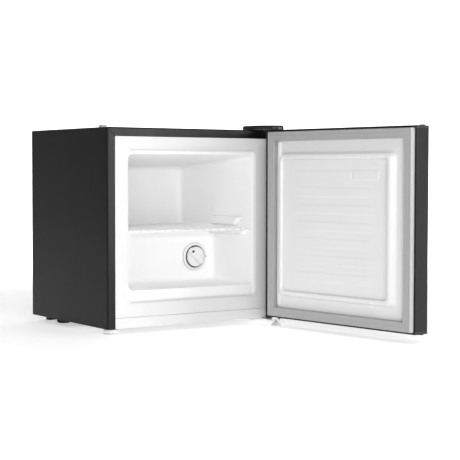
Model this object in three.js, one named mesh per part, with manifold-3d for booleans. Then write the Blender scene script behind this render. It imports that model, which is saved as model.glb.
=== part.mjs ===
// Compact table-top upright freezer with one right-hinged door, standing open.
// Millimetres, +Z up, the cabinet front faces -Y and +X is to its right.
// Every piece is a closed solid in a mesh of its own, named after the piece.
import * as THREE from 'three';
import * as BufferGeometryUtils from 'three/addons/utils/BufferGeometryUtils.js';
import Module from 'manifold-3d';

const wasm = await Module();
wasm.setup();

// ---------------------------------------------------------------- driving dimensions
// The cabinet front plane is y = 0, its middle is x = 0 and the floor is z = 0.
const CABINET_WIDTH = 475;
const CABINET_DEPTH = 393;
const PANEL_HEIGHT = 470;
const FOOT_HEIGHT = 15;
const SHEET = 0.8;
const GAP = 0.3;
const STRIP_WIDTH = 21;
const KICK_HEIGHT = 24.5;

const OPENING_HALF = 183;
const OPENING_LOW = 74;
const OPENING_HIGH = 433.5;
const OPENING_RADIUS = 13;
const CHAMFER_INSET = 4;
const CHAMFER_DEPTH = 7.5;
const FLANGE_THICK = 1.7;

const LINER = 1.6;
const MOUTH_HALF = 176.5;
const CAVITY_HALF = 169.5;
const CAVITY_FLOOR = 102.5;
const CEILING_FRONT = 425.5;
const CEILING_BACK = 394.5;
const UPPER_BACK = 328;
const STEP_BACK = 177;
const STEP_TOP = 237;
const CAVITY_FILLET = 9;
const SHELF_RIB = 7;

const MACHINE_FRONT = 207;
const MACHINE_ROOF = 205;

const DOOR_GAP = 14;
const DOOR_THICK = 42;
const DOOR_LOW = 21.4;
const DOOR_HIGH = 484.6;
const DOOR_CAP = 5.7;
const DOOR_RIM = 5.4;
const DOOR_OPEN_ANGLE = 96.4;
const HINGE_X = 229;
const HINGE_Y = -42;
const PIN_RADIUS = 3;
const GASKET_HEIGHT = 13;
const GASKET_WIDTH = 22;
const RIDGE_HEIGHT = 12;
const DOOR_PANEL_LEVEL = 6;
const DOOR_RIB_COUNT = 7;
const DOOR_RIB_PITCH = 40.3;
const DOOR_RIB_HEIGHT = 20.5;
const DOOR_RIB_RISE = 1.2;

const SHELF_WIRES = 15;
const SHELF_PITCH = 22.05;
const SHELF_BAR_RADIUS = 2.2;
const SHELF_WIRE_RADIUS = 1.5;

const DIAL_X = 117;
const DIAL_Z = 163;
const DIAL_RADIUS = 35;
const KNOB_RADIUS = 25.5;
const KNOB_CLEARANCE = 2.6;

const COMPRESSOR_X = 45;
const COMPRESSOR_Y = 298;
const COMPRESSOR_RADIUS = 58;
const COMPRESSOR_TOP = 160;

// ---------------------------------------------------------------- values worked out from them
const HALF = CABINET_WIDTH / 2;
const BASE = FOOT_HEIGHT;
const TOP = FOOT_HEIGHT + PANEL_HEIGHT;
const INNER_HALF = HALF - SHEET - GAP;
const DOOR_INNER = -DOOR_GAP;
const DOOR_OUTER = -DOOR_GAP - DOOR_THICK;
const DOOR_MIDDLE = (DOOR_LOW + DOOR_HIGH) / 2;
const OPEN = THREE.MathUtils.degToRad(DOOR_OPEN_ANGLE);

// ---------------------------------------------------------------- solids and shapes
// A closed three.js geometry becomes a solid that can be joined and cut.
function solid(geometry) {
  let plain = geometry.clone();
  plain.deleteAttribute('normal');
  plain.deleteAttribute('uv');
  plain = BufferGeometryUtils.mergeVertices(plain, 1e-4);
  return new wasm.Manifold(new wasm.Mesh({
    numProp: 3,
    vertProperties: new Float32Array(plain.attributes.position.array),
    triVerts: new Uint32Array(plain.index.array),
  }));
}

// A solid becomes a three.js geometry again.
function toGeometry(body) {
  const mesh = body.getMesh();
  const geometry = new THREE.BufferGeometry();
  geometry.setAttribute('position', new THREE.BufferAttribute(mesh.vertProperties, 3));
  geometry.setIndex(new THREE.BufferAttribute(mesh.triVerts, 1));
  geometry.computeVertexNormals();
  return geometry;
}

function join(first, ...others) {
  return others.reduce((sum, other) => sum.add(other), first);
}

function cut(first, ...others) {
  return others.reduce((rest, other) => rest.subtract(other), first);
}

function block(x0, x1, y0, y1, z0, z1) {
  const box = new THREE.BoxGeometry(x1 - x0, y1 - y0, z1 - z0);
  box.translate((x0 + x1) / 2, (y0 + y1) / 2, (z0 + z1) / 2);
  return solid(box);
}

// An outline of points becomes a shape whose corners are rounded by the given radius.
function roundedOutline(points, radius) {
  const shape = new THREE.Shape();
  const at = points.map(([a, b]) => new THREE.Vector2(a, b));
  at.forEach((corner, i) => {
    const before = at[(i + at.length - 1) % at.length];
    const after = at[(i + 1) % at.length];
    const start = corner.clone().add(before.clone().sub(corner).setLength(radius));
    const end = corner.clone().add(after.clone().sub(corner).setLength(radius));
    if (i === 0) {
      shape.moveTo(start.x, start.y);
    } else {
      shape.lineTo(start.x, start.y);
    }
    shape.quadraticCurveTo(corner.x, corner.y, end.x, end.y);
  });
  shape.closePath();
  return shape;
}

function rectangle(a0, a1, b0, b1, radius) {
  return roundedOutline([[a0, b0], [a1, b0], [a1, b1], [a0, b1]], radius);
}

function extruded(shape, length) {
  return new THREE.ExtrudeGeometry(shape, { depth: length, bevelEnabled: false, curveSegments: 3 });
}

// A shape drawn in (y, z) runs along X.
function alongX(shape, x0, x1) {
  const geometry = extruded(shape, x1 - x0);
  geometry.applyMatrix4(new THREE.Matrix4().makeBasis(
    new THREE.Vector3(0, 1, 0), new THREE.Vector3(0, 0, 1), new THREE.Vector3(1, 0, 0)));
  geometry.translate(x0, 0, 0);
  return solid(geometry);
}

// A shape drawn in (x, z) runs along Y; taper moves the outline of its high-y end.
function alongY(shape, y0, y1, taper = null) {
  const geometry = extruded(shape, y1 - y0);
  geometry.applyMatrix4(new THREE.Matrix4().makeBasis(
    new THREE.Vector3(1, 0, 0), new THREE.Vector3(0, 0, 1), new THREE.Vector3(0, -1, 0)));
  geometry.translate(0, y1, 0);
  if (taper) {
    const position = geometry.attributes.position;
    for (let i = 0; i < position.count; i += 1) {
      if (position.getY(i) > (y0 + y1) / 2) {
        const [x, z] = taper(position.getX(i), position.getZ(i));
        position.setXYZ(i, x, position.getY(i), z);
      }
    }
  }
  return solid(geometry);
}

// A shape drawn in (x, y) runs along Z.
function alongZ(shape, z0, z1) {
  const geometry = extruded(shape, z1 - z0);
  geometry.translate(0, 0, z0);
  return solid(geometry);
}

// A rounded rectangle at y0 that becomes another rectangle at y1.
function taperedBlock(from, to, radius, y0, y1) {
  const map = (value, a0, a1, b0, b1) => b0 + ((value - a0) / (a1 - a0)) * (b1 - b0);
  return alongY(rectangle(...from, radius), y0, y1, (x, z) => [
    map(x, from[0], from[1], to[0], to[1]),
    map(z, from[2], from[3], to[2], to[3]),
  ]);
}

// A profile of [radius, z] points, starting and ending on the axis, turned about Z.
function turned(profile, x, y, segments = 24) {
  const points = profile.map(([radius, height]) => new THREE.Vector2(radius, height));
  const geometry = new THREE.LatheGeometry(points, segments);
  geometry.rotateX(Math.PI / 2);
  geometry.translate(x, y, 0);
  return solid(geometry);
}

// The same, turned about Y: the profile holds [radius, y] points.
function turnedAboutY(profile, x, z, segments = 32) {
  const points = profile.map(([radius, height]) => new THREE.Vector2(radius, height));
  const geometry = new THREE.LatheGeometry(points, segments);
  geometry.translate(x, 0, z);
  return solid(geometry);
}

function disc(radius, x, y, z0, z1, segments = 24) {
  return turned([[0, z0], [radius, z0], [radius, z1], [0, z1]], x, y, segments);
}

function rod(from, to, radius) {
  const start = new THREE.Vector3(...from);
  const end = new THREE.Vector3(...to);
  const geometry = new THREE.CylinderGeometry(radius, radius, start.distanceTo(end), 6);
  const direction = end.clone().sub(start).normalize();
  geometry.applyQuaternion(new THREE.Quaternion().setFromUnitVectors(
    new THREE.Vector3(0, 1, 0), direction));
  const middle = start.add(end).multiplyScalar(0.5);
  geometry.translate(middle.x, middle.y, middle.z);
  return solid(geometry);
}

// A round tube through the given points.
function tube(points, radius, steps) {
  const path = new THREE.CatmullRomCurve3(points.map((p) => new THREE.Vector3(...p)));
  const section = new THREE.Shape().absarc(0, 0, radius, 0, Math.PI * 2);
  return solid(new THREE.ExtrudeGeometry(section, {
    steps, extrudePath: path, curveSegments: 3, bevelEnabled: false,
  }));
}

// Points of a coil that runs to and fro: along() places (run, rise) in space.
function serpentine(length, pitch, passes, along) {
  const points = [];
  const turns = 4;
  for (let pass = 0; pass < passes; pass += 1) {
    const side = pass % 2 === 0 ? 1 : -1;
    const rise = pass * pitch;
    for (const run of [-0.5, -0.17, 0.17, 0.5]) {
      points.push(along(run * length * side, rise));
    }
    if (pass < passes - 1) {
      for (let i = 1; i < turns; i += 1) {
        const angle = (i / turns) * Math.PI;
        points.push(along(
          side * (length / 2 + Math.sin(angle) * pitch / 2),
          rise + (1 - Math.cos(angle)) * pitch / 2,
        ));
      }
    }
  }
  return points;
}

// ---------------------------------------------------------------- materials and nodes
function finish(color, roughness, metalness) {
  return () => new THREE.MeshStandardMaterial({ color, roughness, metalness });
}
const blackSteel = finish(0x27272a, 0.45, 0.4);
const darkCap = finish(0x1c1c1e, 0.5, 0.0);
const whitePlastic = finish(0xefefef, 0.35, 0.0);
const greyRubber = finish(0xb0b0b0, 0.7, 0.0);
const blackRubber = finish(0x202020, 0.85, 0.0);
const zincSteel = finish(0xb9bcc0, 0.4, 0.9);
const copper = finish(0xb87345, 0.35, 0.9);
const foam = finish(0xe8dca8, 0.95, 0.0);
const compressorPaint = finish(0x151515, 0.4, 0.3);
const whiteWire = finish(0xf4f4f4, 0.4, 0.1);

const cabinet = new THREE.Group();
const doorPivot = new THREE.Group();
const door = new THREE.Group();

function add(group, name, material, body) {
  const mesh = new THREE.Mesh(toGeometry(body), material());
  mesh.name = name;
  group.add(mesh);
}

// ---------------------------------------------------------------- outer casing
// One folded sheet makes both sides, the top and the front strips with mitred corners.
function outerWrap() {
  const outer = block(-HALF, HALF, 0, CABINET_DEPTH, BASE, TOP);
  const inner = block(-HALF + SHEET, HALF - SHEET, SHEET, CABINET_DEPTH + 1, BASE - 1, TOP - SHEET);
  const front = block(-HALF + STRIP_WIDTH, HALF - STRIP_WIDTH, -1, SHEET + 1,
    BASE - 1, TOP - STRIP_WIDTH);
  return cut(outer, inner, front);
}

function backPanel() {
  const plate = block(-INNER_HALF, INNER_HALF, CABINET_DEPTH - 1.1, CABINET_DEPTH - 0.1,
    MACHINE_ROOF - 1, TOP - SHEET - GAP);
  const beads = [260, 320, 380, 440].map((z) => block(-180, 180,
    CABINET_DEPTH - 1.5, CABINET_DEPTH, z - 3, z + 3));
  return join(plate, ...beads.map((bead) => bead.intersect(
    block(-INNER_HALF, INNER_HALF, CABINET_DEPTH - 1.1, CABINET_DEPTH, BASE, TOP))));
}

// An angle of sheet closes the insulation off from the compressor's space.
function machineRoomWall() {
  const wall = block(-INNER_HALF, INNER_HALF, MACHINE_FRONT, MACHINE_FRONT + 1,
    BASE + 1.8, MACHINE_ROOF - 1 - GAP);
  const roof = block(-INNER_HALF, INNER_HALF, MACHINE_FRONT, CABINET_DEPTH - 1.5,
    MACHINE_ROOF - 2.3, MACHINE_ROOF - 1 - GAP);
  return join(wall, roof);
}

function basePan() {
  return block(-INNER_HALF, INNER_HALF, 2.4, MACHINE_FRONT, BASE + 0.3, BASE + 1.4);
}

function kickPanel() {
  const half = HALF - STRIP_WIDTH - GAP;
  const face = alongY(rectangle(-half, half, BASE + GAP, BASE + KICK_HEIGHT, 1), 0, 1.9);
  const lip = block(-half + 6, half - 6, 0.5, 1.9, BASE + GAP, BASE + 4);
  return join(face, lip);
}

// ---------------------------------------------------------------- liner and insulation
// Side outline of the stepped cavity in (y, z), grown outwards by a margin.
function cavityOutline(grow, front) {
  return roundedOutline([
    [front, CAVITY_FLOOR - grow],
    [STEP_BACK + grow, CAVITY_FLOOR - grow],
    [STEP_BACK + grow, STEP_TOP - grow],
    [UPPER_BACK + grow, STEP_TOP - grow],
    [UPPER_BACK + grow, CEILING_BACK + grow],
    [front, CEILING_FRONT + grow],
  ], CAVITY_FILLET);
}

// Its side walls lean inwards from the mouth to the back.
function cavity(grow, front) {
  const whole = alongX(cavityOutline(grow, front - 20), -HALF, HALF);
  const lean = taperedBlock([-MOUTH_HALF - grow, MOUTH_HALF + grow, 0, TOP],
    [-CAVITY_HALF - grow, CAVITY_HALF + grow, 0, TOP], 1, front, UPPER_BACK + 20);
  return whole.intersect(lean);
}

function openingRecess(grow, y0, y1) {
  return alongY(rectangle(-OPENING_HALF - grow, OPENING_HALF + grow,
    OPENING_LOW - grow, OPENING_HIGH + grow, OPENING_RADIUS), y0, y1);
}

function linerEnvelope(grow) {
  return join(openingRecess(grow, 0.2, CHAMFER_DEPTH + grow), cavity(grow, 2));
}

// A ledge moulded into a side wall, as far out as the middle of the liner's sheet.
function shelfRib(side, outline) {
  const x0 = side > 0 ? CAVITY_HALF - SHELF_RIB : -HALF;
  const x1 = side > 0 ? HALF : -CAVITY_HALF + SHELF_RIB;
  return alongX(roundedOutline(outline, 2.5), x0, x1).intersect(cavity(LINER / 2, 2));
}

function innerLiner() {
  const half = HALF - STRIP_WIDTH - GAP;
  const flange = block(-half, half, 0.2, FLANGE_THICK,
    BASE + KICK_HEIGHT + 0.8, TOP - STRIP_WIDTH - GAP);
  const from = [-OPENING_HALF, OPENING_HALF, OPENING_LOW, OPENING_HIGH];
  const to = [from[0] + CHAMFER_INSET, from[1] - CHAMFER_INSET,
    from[2] + CHAMFER_INSET, from[3] - CHAMFER_INSET];
  const chamfer = taperedBlock(from, to, OPENING_RADIUS, 0, CHAMFER_DEPTH);
  const mouth = block(-OPENING_HALF + 14, OPENING_HALF - 14, -1, 1, OPENING_LOW + 14,
    OPENING_HIGH - 14);
  const shell = cut(join(flange, linerEnvelope(LINER)), chamfer, mouth, cavity(0, 1));
  const ribs = [];
  for (const side of [-1, 1]) {
    ribs.push(shelfRib(side, [[69, 248], [171, 248], [171, 266], [50, 266]]));
    ribs.push(shelfRib(side, [[37, 224.4], [178, 224.4], [178, 237], [20, 237]]));
  }
  const shaftHole = turnedAboutY([[0, STEP_BACK - 3], [4.2, STEP_BACK - 3],
    [4.2, STEP_BACK + 4], [0, STEP_BACK + 4]], DIAL_X, DIAL_Z, 16);
  return cut(join(shell, ...ribs), shaftHole);
}

function cabinetInsulation() {
  const outline = new THREE.Shape([
    [2.3, BASE + 1.7], [MACHINE_FRONT - GAP, BASE + 1.7],
    [MACHINE_FRONT - GAP, MACHINE_ROOF - 1], [CABINET_DEPTH - 1.8, MACHINE_ROOF - 1],
    [CABINET_DEPTH - 1.8, TOP - SHEET - GAP], [2.3, TOP - SHEET - GAP],
  ].map(([y, z]) => new THREE.Vector2(y, z)));
  const whole = alongX(outline, -INNER_HALF, INNER_HALF);
  const condenserPocket = block(-HALF, -HALF + 8.5, 36, 372, 214, 462);
  const evaporatorPocket = block(-158, 158, UPPER_BACK, UPPER_BACK + 10, 252, 386);
  const thermostatPocket = block(DIAL_X - 23, DIAL_X + 23, STEP_BACK, STEP_BACK + 27,
    DIAL_Z - 19, DIAL_Z + 19);
  return cut(whole, linerEnvelope(LINER + GAP), condenserPocket, evaporatorPocket,
    thermostatPocket);
}

// ---------------------------------------------------------------- refrigeration circuit
function compressorPlate() {
  const plate = block(-INNER_HALF, INNER_HALF, MACHINE_FRONT + 1 + GAP, CABINET_DEPTH - 1.5,
    BASE + 0.3, BASE + 1.5);
  const lip = block(-INNER_HALF + 30, INNER_HALF - 30, CABINET_DEPTH - 3, CABINET_DEPTH - 1.5,
    BASE + 0.3, BASE + 16);
  const runners = [-1, 1].map((side) => block(
    Math.min(side * 202, side * 223), Math.max(side * 202, side * 223), 331, 346, 5, BASE + 1));
  return join(plate, lip, ...runners);
}

const MOUNT_SPREAD = 52;
const MOUNT_BASE = BASE + 1.8;

function compressor() {
  const low = MOUNT_BASE + 13;
  const middle = (low + COMPRESSOR_TOP) / 2;
  const profile = [[0, low]];
  for (let i = 0; i <= 6; i += 1) {
    const angle = (i / 6) * Math.PI / 2;
    profile.push([COMPRESSOR_RADIUS * (0.55 + 0.45 * Math.sin(angle)),
      low + 22 - 22 * Math.cos(angle) * Math.cos(angle)]);
  }
  profile.push([COMPRESSOR_RADIUS, middle - 3], [COMPRESSOR_RADIUS + 2.5, middle - 3]);
  profile.push([COMPRESSOR_RADIUS + 2.5, middle + 3], [COMPRESSOR_RADIUS, middle + 3]);
  for (let i = 0; i <= 6; i += 1) {
    const angle = (i / 6) * Math.PI / 2;
    profile.push([COMPRESSOR_RADIUS * Math.cos(angle), COMPRESSOR_TOP - 40 + 40 * Math.sin(angle)]);
  }
  const shell = turned(profile, COMPRESSOR_X, COMPRESSOR_Y, 20);
  const base = alongZ(rectangle(COMPRESSOR_X - 66, COMPRESSOR_X + 66,
    COMPRESSOR_Y - 62, COMPRESSOR_Y + 62, 12), low - 3, low + 1);
  const holes = mountSpots().map(([x, y]) => disc(5.5, x, y, low - 6, low + 4, 12));
  return join(cut(base, ...holes), shell);
}

function mountSpots() {
  const spots = [];
  for (const sideX of [-1, 1]) {
    for (const sideY of [-1, 1]) {
      spots.push([COMPRESSOR_X + sideX * MOUNT_SPREAD, COMPRESSOR_Y + sideY * MOUNT_SPREAD]);
    }
  }
  return spots;
}

// A rubber grommet carries the compressor foot in its waist.
function grommet([x, y]) {
  const low = MOUNT_BASE;
  return turned([[0, low], [9, low], [9, low + 9.6], [5.1, low + 9.6], [5.1, low + 14.4],
    [8.5, low + 14.4], [8.5, low + 18], [0, low + 18]], x, y, 16);
}

function relayCover() {
  const x = COMPRESSOR_X + COMPRESSOR_RADIUS + 3;
  return alongZ(rectangle(x, x + 30, COMPRESSOR_Y - 26, COMPRESSOR_Y + 26, 5), 62, 112);
}

function filterDrier() {
  return turned([[0, 62], [2.5, 62], [9, 70], [9, 128], [2.5, 136], [0, 136]], -70, 330, 16);
}

// A pipe stub leaves the compressor shell square to its wall.
function stub(angleDegrees, z, reach) {
  const angle = THREE.MathUtils.degToRad(angleDegrees);
  const radius = COMPRESSOR_RADIUS + reach;
  return [COMPRESSOR_X + radius * Math.cos(angle), COMPRESSOR_Y + radius * Math.sin(angle), z];
}

function dischargePipe() {
  return tube([stub(140, 108, 0.6), stub(140, 108, 8), stub(142, 110, 18), stub(145, 124, 27),
    [-55, 352, 155], [-95, 352, 168], [-150, 352, 172], [-205, 352, 172], [-225, 348, 180],
    [-228, 345, 196]], 2.6, 44);
}

function suctionPipe() {
  return tube([stub(220, 108, 0.6), stub(220, 108, 9), stub(221, 112, 20), stub(222, 128, 28),
    stub(222, 150, 30), stub(222, 175, 30), stub(222, 198, 30)], 3.5, 30);
}

function processPipe() {
  return tube([stub(75, 108, 0.6), stub(75, 108, 8), stub(75, 111, 14), stub(75, 122, 17),
    stub(75, 138, 17)], 3, 16);
}

function capillaryTube() {
  const points = [[-70, 330, 61.4], [-70, 330, 50], [-82, 322, 40]];
  for (let i = 0; i <= 20; i += 1) {
    const angle = Math.PI * (0.25 + i / 5);
    points.push([-104 + 22 * Math.cos(angle), 300 + 22 * Math.sin(angle), 40 + i * 1.6]);
  }
  points.push([-104, 262, 90], [-104, 240, 130], [-104, 232, 198]);
  return tube(points, 1.2, 64);
}

function condenserCoil() {
  const x = -HALF + 4.5;
  return tube(serpentine(250, 32, 7, (run, rise) => [x, 204 + run, 234 + rise]), 2.5, 84);
}

function evaporatorCoil() {
  const y = UPPER_BACK + LINER + 4.3;
  return tube(serpentine(260, 26, 5, (run, rise) => [run, y, 266 + rise]), 3.2, 64);
}

function cordGland() {
  const y = CABINET_DEPTH - 3;
  const profile = [[0, y - 9], [5, y - 9], [5, y - 0.3], [5, y + 1.8], [8, y + 1.8], [8, y + 2.9],
    [3.4, y + 2.9], [3.4, y - 5], [0, y - 5]];
  return turnedAboutY(profile, 150, BASE + 26, 16);
}

function cordBracket() {
  const plate = block(138, 162, CABINET_DEPTH - 4.4, CABINET_DEPTH - 3.3, BASE + 1.8, BASE + 38);
  const hole = turnedAboutY([[0, CABINET_DEPTH - 8], [5.4, CABINET_DEPTH - 8],
    [5.4, CABINET_DEPTH], [0, CABINET_DEPTH]], 150, BASE + 26, 16);
  return cut(plate, hole);
}

// ---------------------------------------------------------------- thermostat
function thermostatBody() {
  const box = block(DIAL_X - 21, DIAL_X + 21, STEP_BACK + LINER + GAP, STEP_BACK + 26,
    DIAL_Z - 17, DIAL_Z + 17);
  const shaft = turnedAboutY([[0, STEP_BACK - 9], [2.9, STEP_BACK - 9], [2.9, STEP_BACK + 4],
    [0, STEP_BACK + 4]], DIAL_X, DIAL_Z, 12);
  return join(box, shaft);
}

function dialEscutcheon() {
  const back = STEP_BACK - GAP;
  const ring = turnedAboutY([[0, back - 4.5], [DIAL_RADIUS - 2, back - 4.5],
    [DIAL_RADIUS, back - 2.5], [DIAL_RADIUS, back], [0, back]], DIAL_X, DIAL_Z, 40);
  const well = turnedAboutY([[0, back - 6], [KNOB_RADIUS + KNOB_CLEARANCE, back - 6],
    [KNOB_RADIUS + KNOB_CLEARANCE, back - 1.2], [0, back - 1.2]], DIAL_X, DIAL_Z, 40);
  const bore = turnedAboutY([[0, back - 6], [3.6, back - 6], [3.6, back + 1], [0, back + 1]],
    DIAL_X, DIAL_Z, 16);
  return cut(ring, well, bore);
}

function thermostatKnob() {
  const back = STEP_BACK - 2;
  const wheel = turnedAboutY([[0, back - 7], [KNOB_RADIUS - 1.5, back - 7],
    [KNOB_RADIUS, back - 5.5], [KNOB_RADIUS, back], [0, back]], 0, 0, 40);
  const grip = taperedBlock([-6.5, 6.5, -22, 27], [-8, 8, -23.5, 28], 4, back - 15, back - 5);
  const bore = turnedAboutY([[0, back - 8], [3.2, back - 8], [3.2, back + 1], [0, back + 1]],
    0, 0, 16);
  const turn = -45;
  return cut(join(wheel, grip), bore).rotate([0, turn, 0]).translate([DIAL_X, 0, DIAL_Z]);
}

// ---------------------------------------------------------------- wire shelf
function wireShelf() {
  const barZ = STEP_TOP + SHELF_BAR_RADIUS + 0.4;
  const wireZ = barZ + SHELF_BAR_RADIUS + SHELF_WIRE_RADIUS - 0.6;
  const bars = [22, 106, 200, 312].map((y) => rod(
    [-CAVITY_HALF + 3.5, y, barZ], [CAVITY_HALF - 3.5, y, barZ], SHELF_BAR_RADIUS));
  const wires = [];
  for (let i = 0; i < SHELF_WIRES; i += 1) {
    const x = (i - (SHELF_WIRES - 1) / 2) * SHELF_PITCH;
    wires.push(rod([x, 20, wireZ], [x, 318, wireZ], SHELF_WIRE_RADIUS));
  }
  return join(bars[0], ...bars.slice(1), ...wires);
}

// ---------------------------------------------------------------- hinges
const PLATE_LOW = TOP + GAP;
const PLATE_HIGH = PLATE_LOW + 2.2;
const SCREW_SPOTS = [[186, 14], [186, 32], [218, 24]];
const LOWER_SCREW_SPOTS = [[186, 18], [186, 44], [218, 44]];

function upperHingePlate() {
  const plate = alongZ(rectangle(176, HALF - 4, 4, 41, 5), PLATE_LOW, PLATE_HIGH);
  const arm = alongZ(rectangle(HINGE_X - 13, HALF - 3.4, HINGE_Y - 7, 20, 7), PLATE_LOW, PLATE_HIGH);
  const pinHole = disc(PIN_RADIUS + GAP, HINGE_X, HINGE_Y, PLATE_LOW - 1, PLATE_HIGH + 1, 16);
  const holes = SCREW_SPOTS.map(([x, y]) => disc(2.6, x, y, PLATE_LOW - 1, PLATE_HIGH + 1, 12));
  return cut(join(plate, arm), pinHole, ...holes);
}

function upperHingePin() {
  const head = PLATE_HIGH + GAP;
  return turned([[0, DOOR_HIGH - 14], [PIN_RADIUS, DOOR_HIGH - 14], [PIN_RADIUS, head],
    [PIN_RADIUS + 2, head], [PIN_RADIUS + 2, head + 2], [0, head + 2]], HINGE_X, HINGE_Y, 16);
}

function screw([x, y], low, tip) {
  return turned([[0, tip], [1.6, tip], [1.6, low], [4.2, low], [3.4, low + 1.8],
    [0, low + 2.4]], x, y, 12);
}

function upperHingeCover() {
  const outline = [[171, 46], [171, -6], [HINGE_X - 22, HINGE_Y - 10], [HALF - 1, HINGE_Y - 10],
    [HALF - 1, 46]];
  const inside = [[172.6, 44.4], [172.6, -5.4], [HINGE_X - 21.2, HINGE_Y - 8.4],
    [HALF - 2.6, HINGE_Y - 8.4], [HALF - 2.6, 44.4]];
  const low = PLATE_LOW;
  const outer = alongZ(roundedOutline(outline.reverse(), 10), low, low + 11);
  const hollow = alongZ(roundedOutline(inside.reverse(), 9), low - 1, low + 9.4);
  return cut(outer, hollow);
}

function lowerHingeBracket() {
  const low = BASE - 2.6;
  const high = BASE - GAP;
  const plate = alongZ(rectangle(172, HALF - 2, 6, 58, 5), low, high);
  const arm = alongZ(rectangle(HINGE_X - 24, HALF - 1, HINGE_Y - 9, 20, 6), low, high);
  const pinHole = disc(PIN_RADIUS + GAP, HINGE_X, HINGE_Y, low - 1, high + 1, 16);
  const footHole = disc(4.3, RIGHT_FOOT_X, HINGE_Y, low - 1, high + 1, 16);
  const holes = LOWER_SCREW_SPOTS.map(([x, y]) => disc(2.6, x, y, low - 1, high + 1, 12));
  return cut(join(plate, arm), pinHole, footHole, ...holes);
}

const RIGHT_FOOT_X = 217.5;

function lowerHingePin() {
  const low = BASE - 4.2;
  return turned([[0, low], [PIN_RADIUS + 1.6, low], [PIN_RADIUS + 1.6, BASE - 2.9],
    [PIN_RADIUS, BASE - 2.9], [PIN_RADIUS, BASE], [PIN_RADIUS + 1.8, BASE],
    [PIN_RADIUS + 1.8, DOOR_LOW - 1], [PIN_RADIUS, DOOR_LOW - 1], [PIN_RADIUS, DOOR_LOW + 13],
    [0, DOOR_LOW + 13]], HINGE_X, HINGE_Y, 16);
}

// The head of a lower screw hangs under the bracket.
function lowerScrew([x, y]) {
  const under = BASE - 2.9;
  return turned([[0, under - 2.2], [3.4, under - 1.8], [4.2, under], [1.6, under],
    [1.6, BASE + 0.05], [0, BASE + 0.05]], x, y, 12);
}

function spareHoleCover() {
  return turned([[0, TOP + GAP], [9, TOP + GAP], [9, TOP + 4.5], [7.5, TOP + 6.3],
    [0, TOP + 6.6]], -HALF + 17.5, 52, 24);
}

// ---------------------------------------------------------------- feet
const LEFT_FOOT_X = -210.5;
const LEFT_FOOT_Y = 34;

function knurledFoot() {
  const outline = new THREE.Shape();
  const teeth = 28;
  for (let i = 0; i < teeth * 2; i += 1) {
    const angle = (i / (teeth * 2)) * Math.PI * 2;
    const radius = i % 2 === 0 ? 17.5 : 16.6;
    outline[i === 0 ? 'moveTo' : 'lineTo'](radius * Math.cos(angle), radius * Math.sin(angle));
  }
  const wheel = alongZ(outline, 2.5, 11).translate([LEFT_FOOT_X, LEFT_FOOT_Y, 0]);
  const pad = disc(15.5, LEFT_FOOT_X, LEFT_FOOT_Y, 0, 3, 28);
  const stud = disc(4, LEFT_FOOT_X, LEFT_FOOT_Y, 10, BASE, 12);
  return join(wheel, pad, stud);
}

function conicalFoot() {
  const profile = [[0, 0], [12.2, 0], [12.6, 1.2], [11.6, 3.6], [4.6, 8.6]];
  for (let i = 0; i < 3; i += 1) {
    const z = 8.6 + i * 1.6;
    profile.push([3.9, z + 0.5], [3.4, z + 1.3]);
  }
  profile.push([3.9, BASE - 0.6], [0, BASE - 0.6]);
  return turned(profile, RIGHT_FOOT_X, HINGE_Y, 20);
}

function rearFoot(side) {
  return turned([[0, 0], [12, 0], [16, 1.5], [18, 5], [18, 11], [14, BASE], [0, BASE]],
    side * 198.5, 295, 20);
}

// ---------------------------------------------------------------- door
// The skin is one sheet folded round both edges, ending in narrow rims behind the liner.
function doorSkin() {
  const i = HALF - SHEET;
  const outline = new THREE.Shape([
    [-HALF + DOOR_RIM, DOOR_INNER], [-HALF, DOOR_INNER], [-HALF, DOOR_OUTER + 3],
    [-HALF + 0.9, DOOR_OUTER + 0.9], [-HALF + 3, DOOR_OUTER], [HALF - 3, DOOR_OUTER],
    [HALF - 0.9, DOOR_OUTER + 0.9], [HALF, DOOR_OUTER + 3], [HALF, DOOR_INNER],
    [HALF - DOOR_RIM, DOOR_INNER], [HALF - DOOR_RIM, DOOR_INNER - SHEET],
    [i, DOOR_INNER - SHEET], [i, DOOR_OUTER + 3.3], [i - 2.5, DOOR_OUTER + SHEET],
    [-i + 2.5, DOOR_OUTER + SHEET], [-i, DOOR_OUTER + 3.3], [-i, DOOR_INNER - SHEET],
    [-HALF + DOOR_RIM, DOOR_INNER - SHEET],
  ].map(([x, y]) => new THREE.Vector2(x, y)));
  return alongZ(outline, DOOR_LOW + DOOR_CAP, DOOR_HIGH - DOOR_CAP);
}

function doorCap(low, high, bushingZ) {
  const plate = alongZ(rectangle(-HALF, HALF, DOOR_OUTER, DOOR_INNER, 3), low, high);
  const tongue = low > DOOR_MIDDLE ? [low - 5, low + 1] : [high - 1, high + 5];
  const rib = block(-HALF + 6, HALF - 6, DOOR_OUTER + 2, DOOR_OUTER + 4, ...tongue);
  const holes = [-1, 1].map((side) => disc(6.3, side * HINGE_X, HINGE_Y,
    bushingZ - 20, bushingZ + 20, 20));
  return cut(join(plate, rib), ...holes);
}

// The door liner's face, as everything behind it: margin, raised ridge, sunk panel, ribs.
function linerFace() {
  return join(linerRelief(), ...doorRibs(), plaque());
}

function linerRelief() {
  const zTop = (value) => DOOR_MIDDLE + value;
  const margin = block(-HALF + DOOR_RIM + GAP, HALF - DOOR_RIM - GAP, DOOR_INNER - 30, DOOR_INNER,
    DOOR_LOW + DOOR_CAP + GAP, DOOR_HIGH - DOOR_CAP - GAP);
  const ridge = taperedBlock([-179.5, 195.5, zTop(-177), zTop(176)],
    [-168, 190, zTop(-170), zTop(169)], 13, DOOR_INNER, DOOR_INNER + RIDGE_HEIGHT);
  const pocket = taperedBlock([-142.5, 177.5, zTop(-156), zTop(155)],
    [-162.5, 184.5, zTop(-162), zTop(161)], 9,
    DOOR_INNER + DOOR_PANEL_LEVEL, DOOR_INNER + RIDGE_HEIGHT + 0.01);
  return cut(join(margin, ridge), pocket);
}

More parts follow.
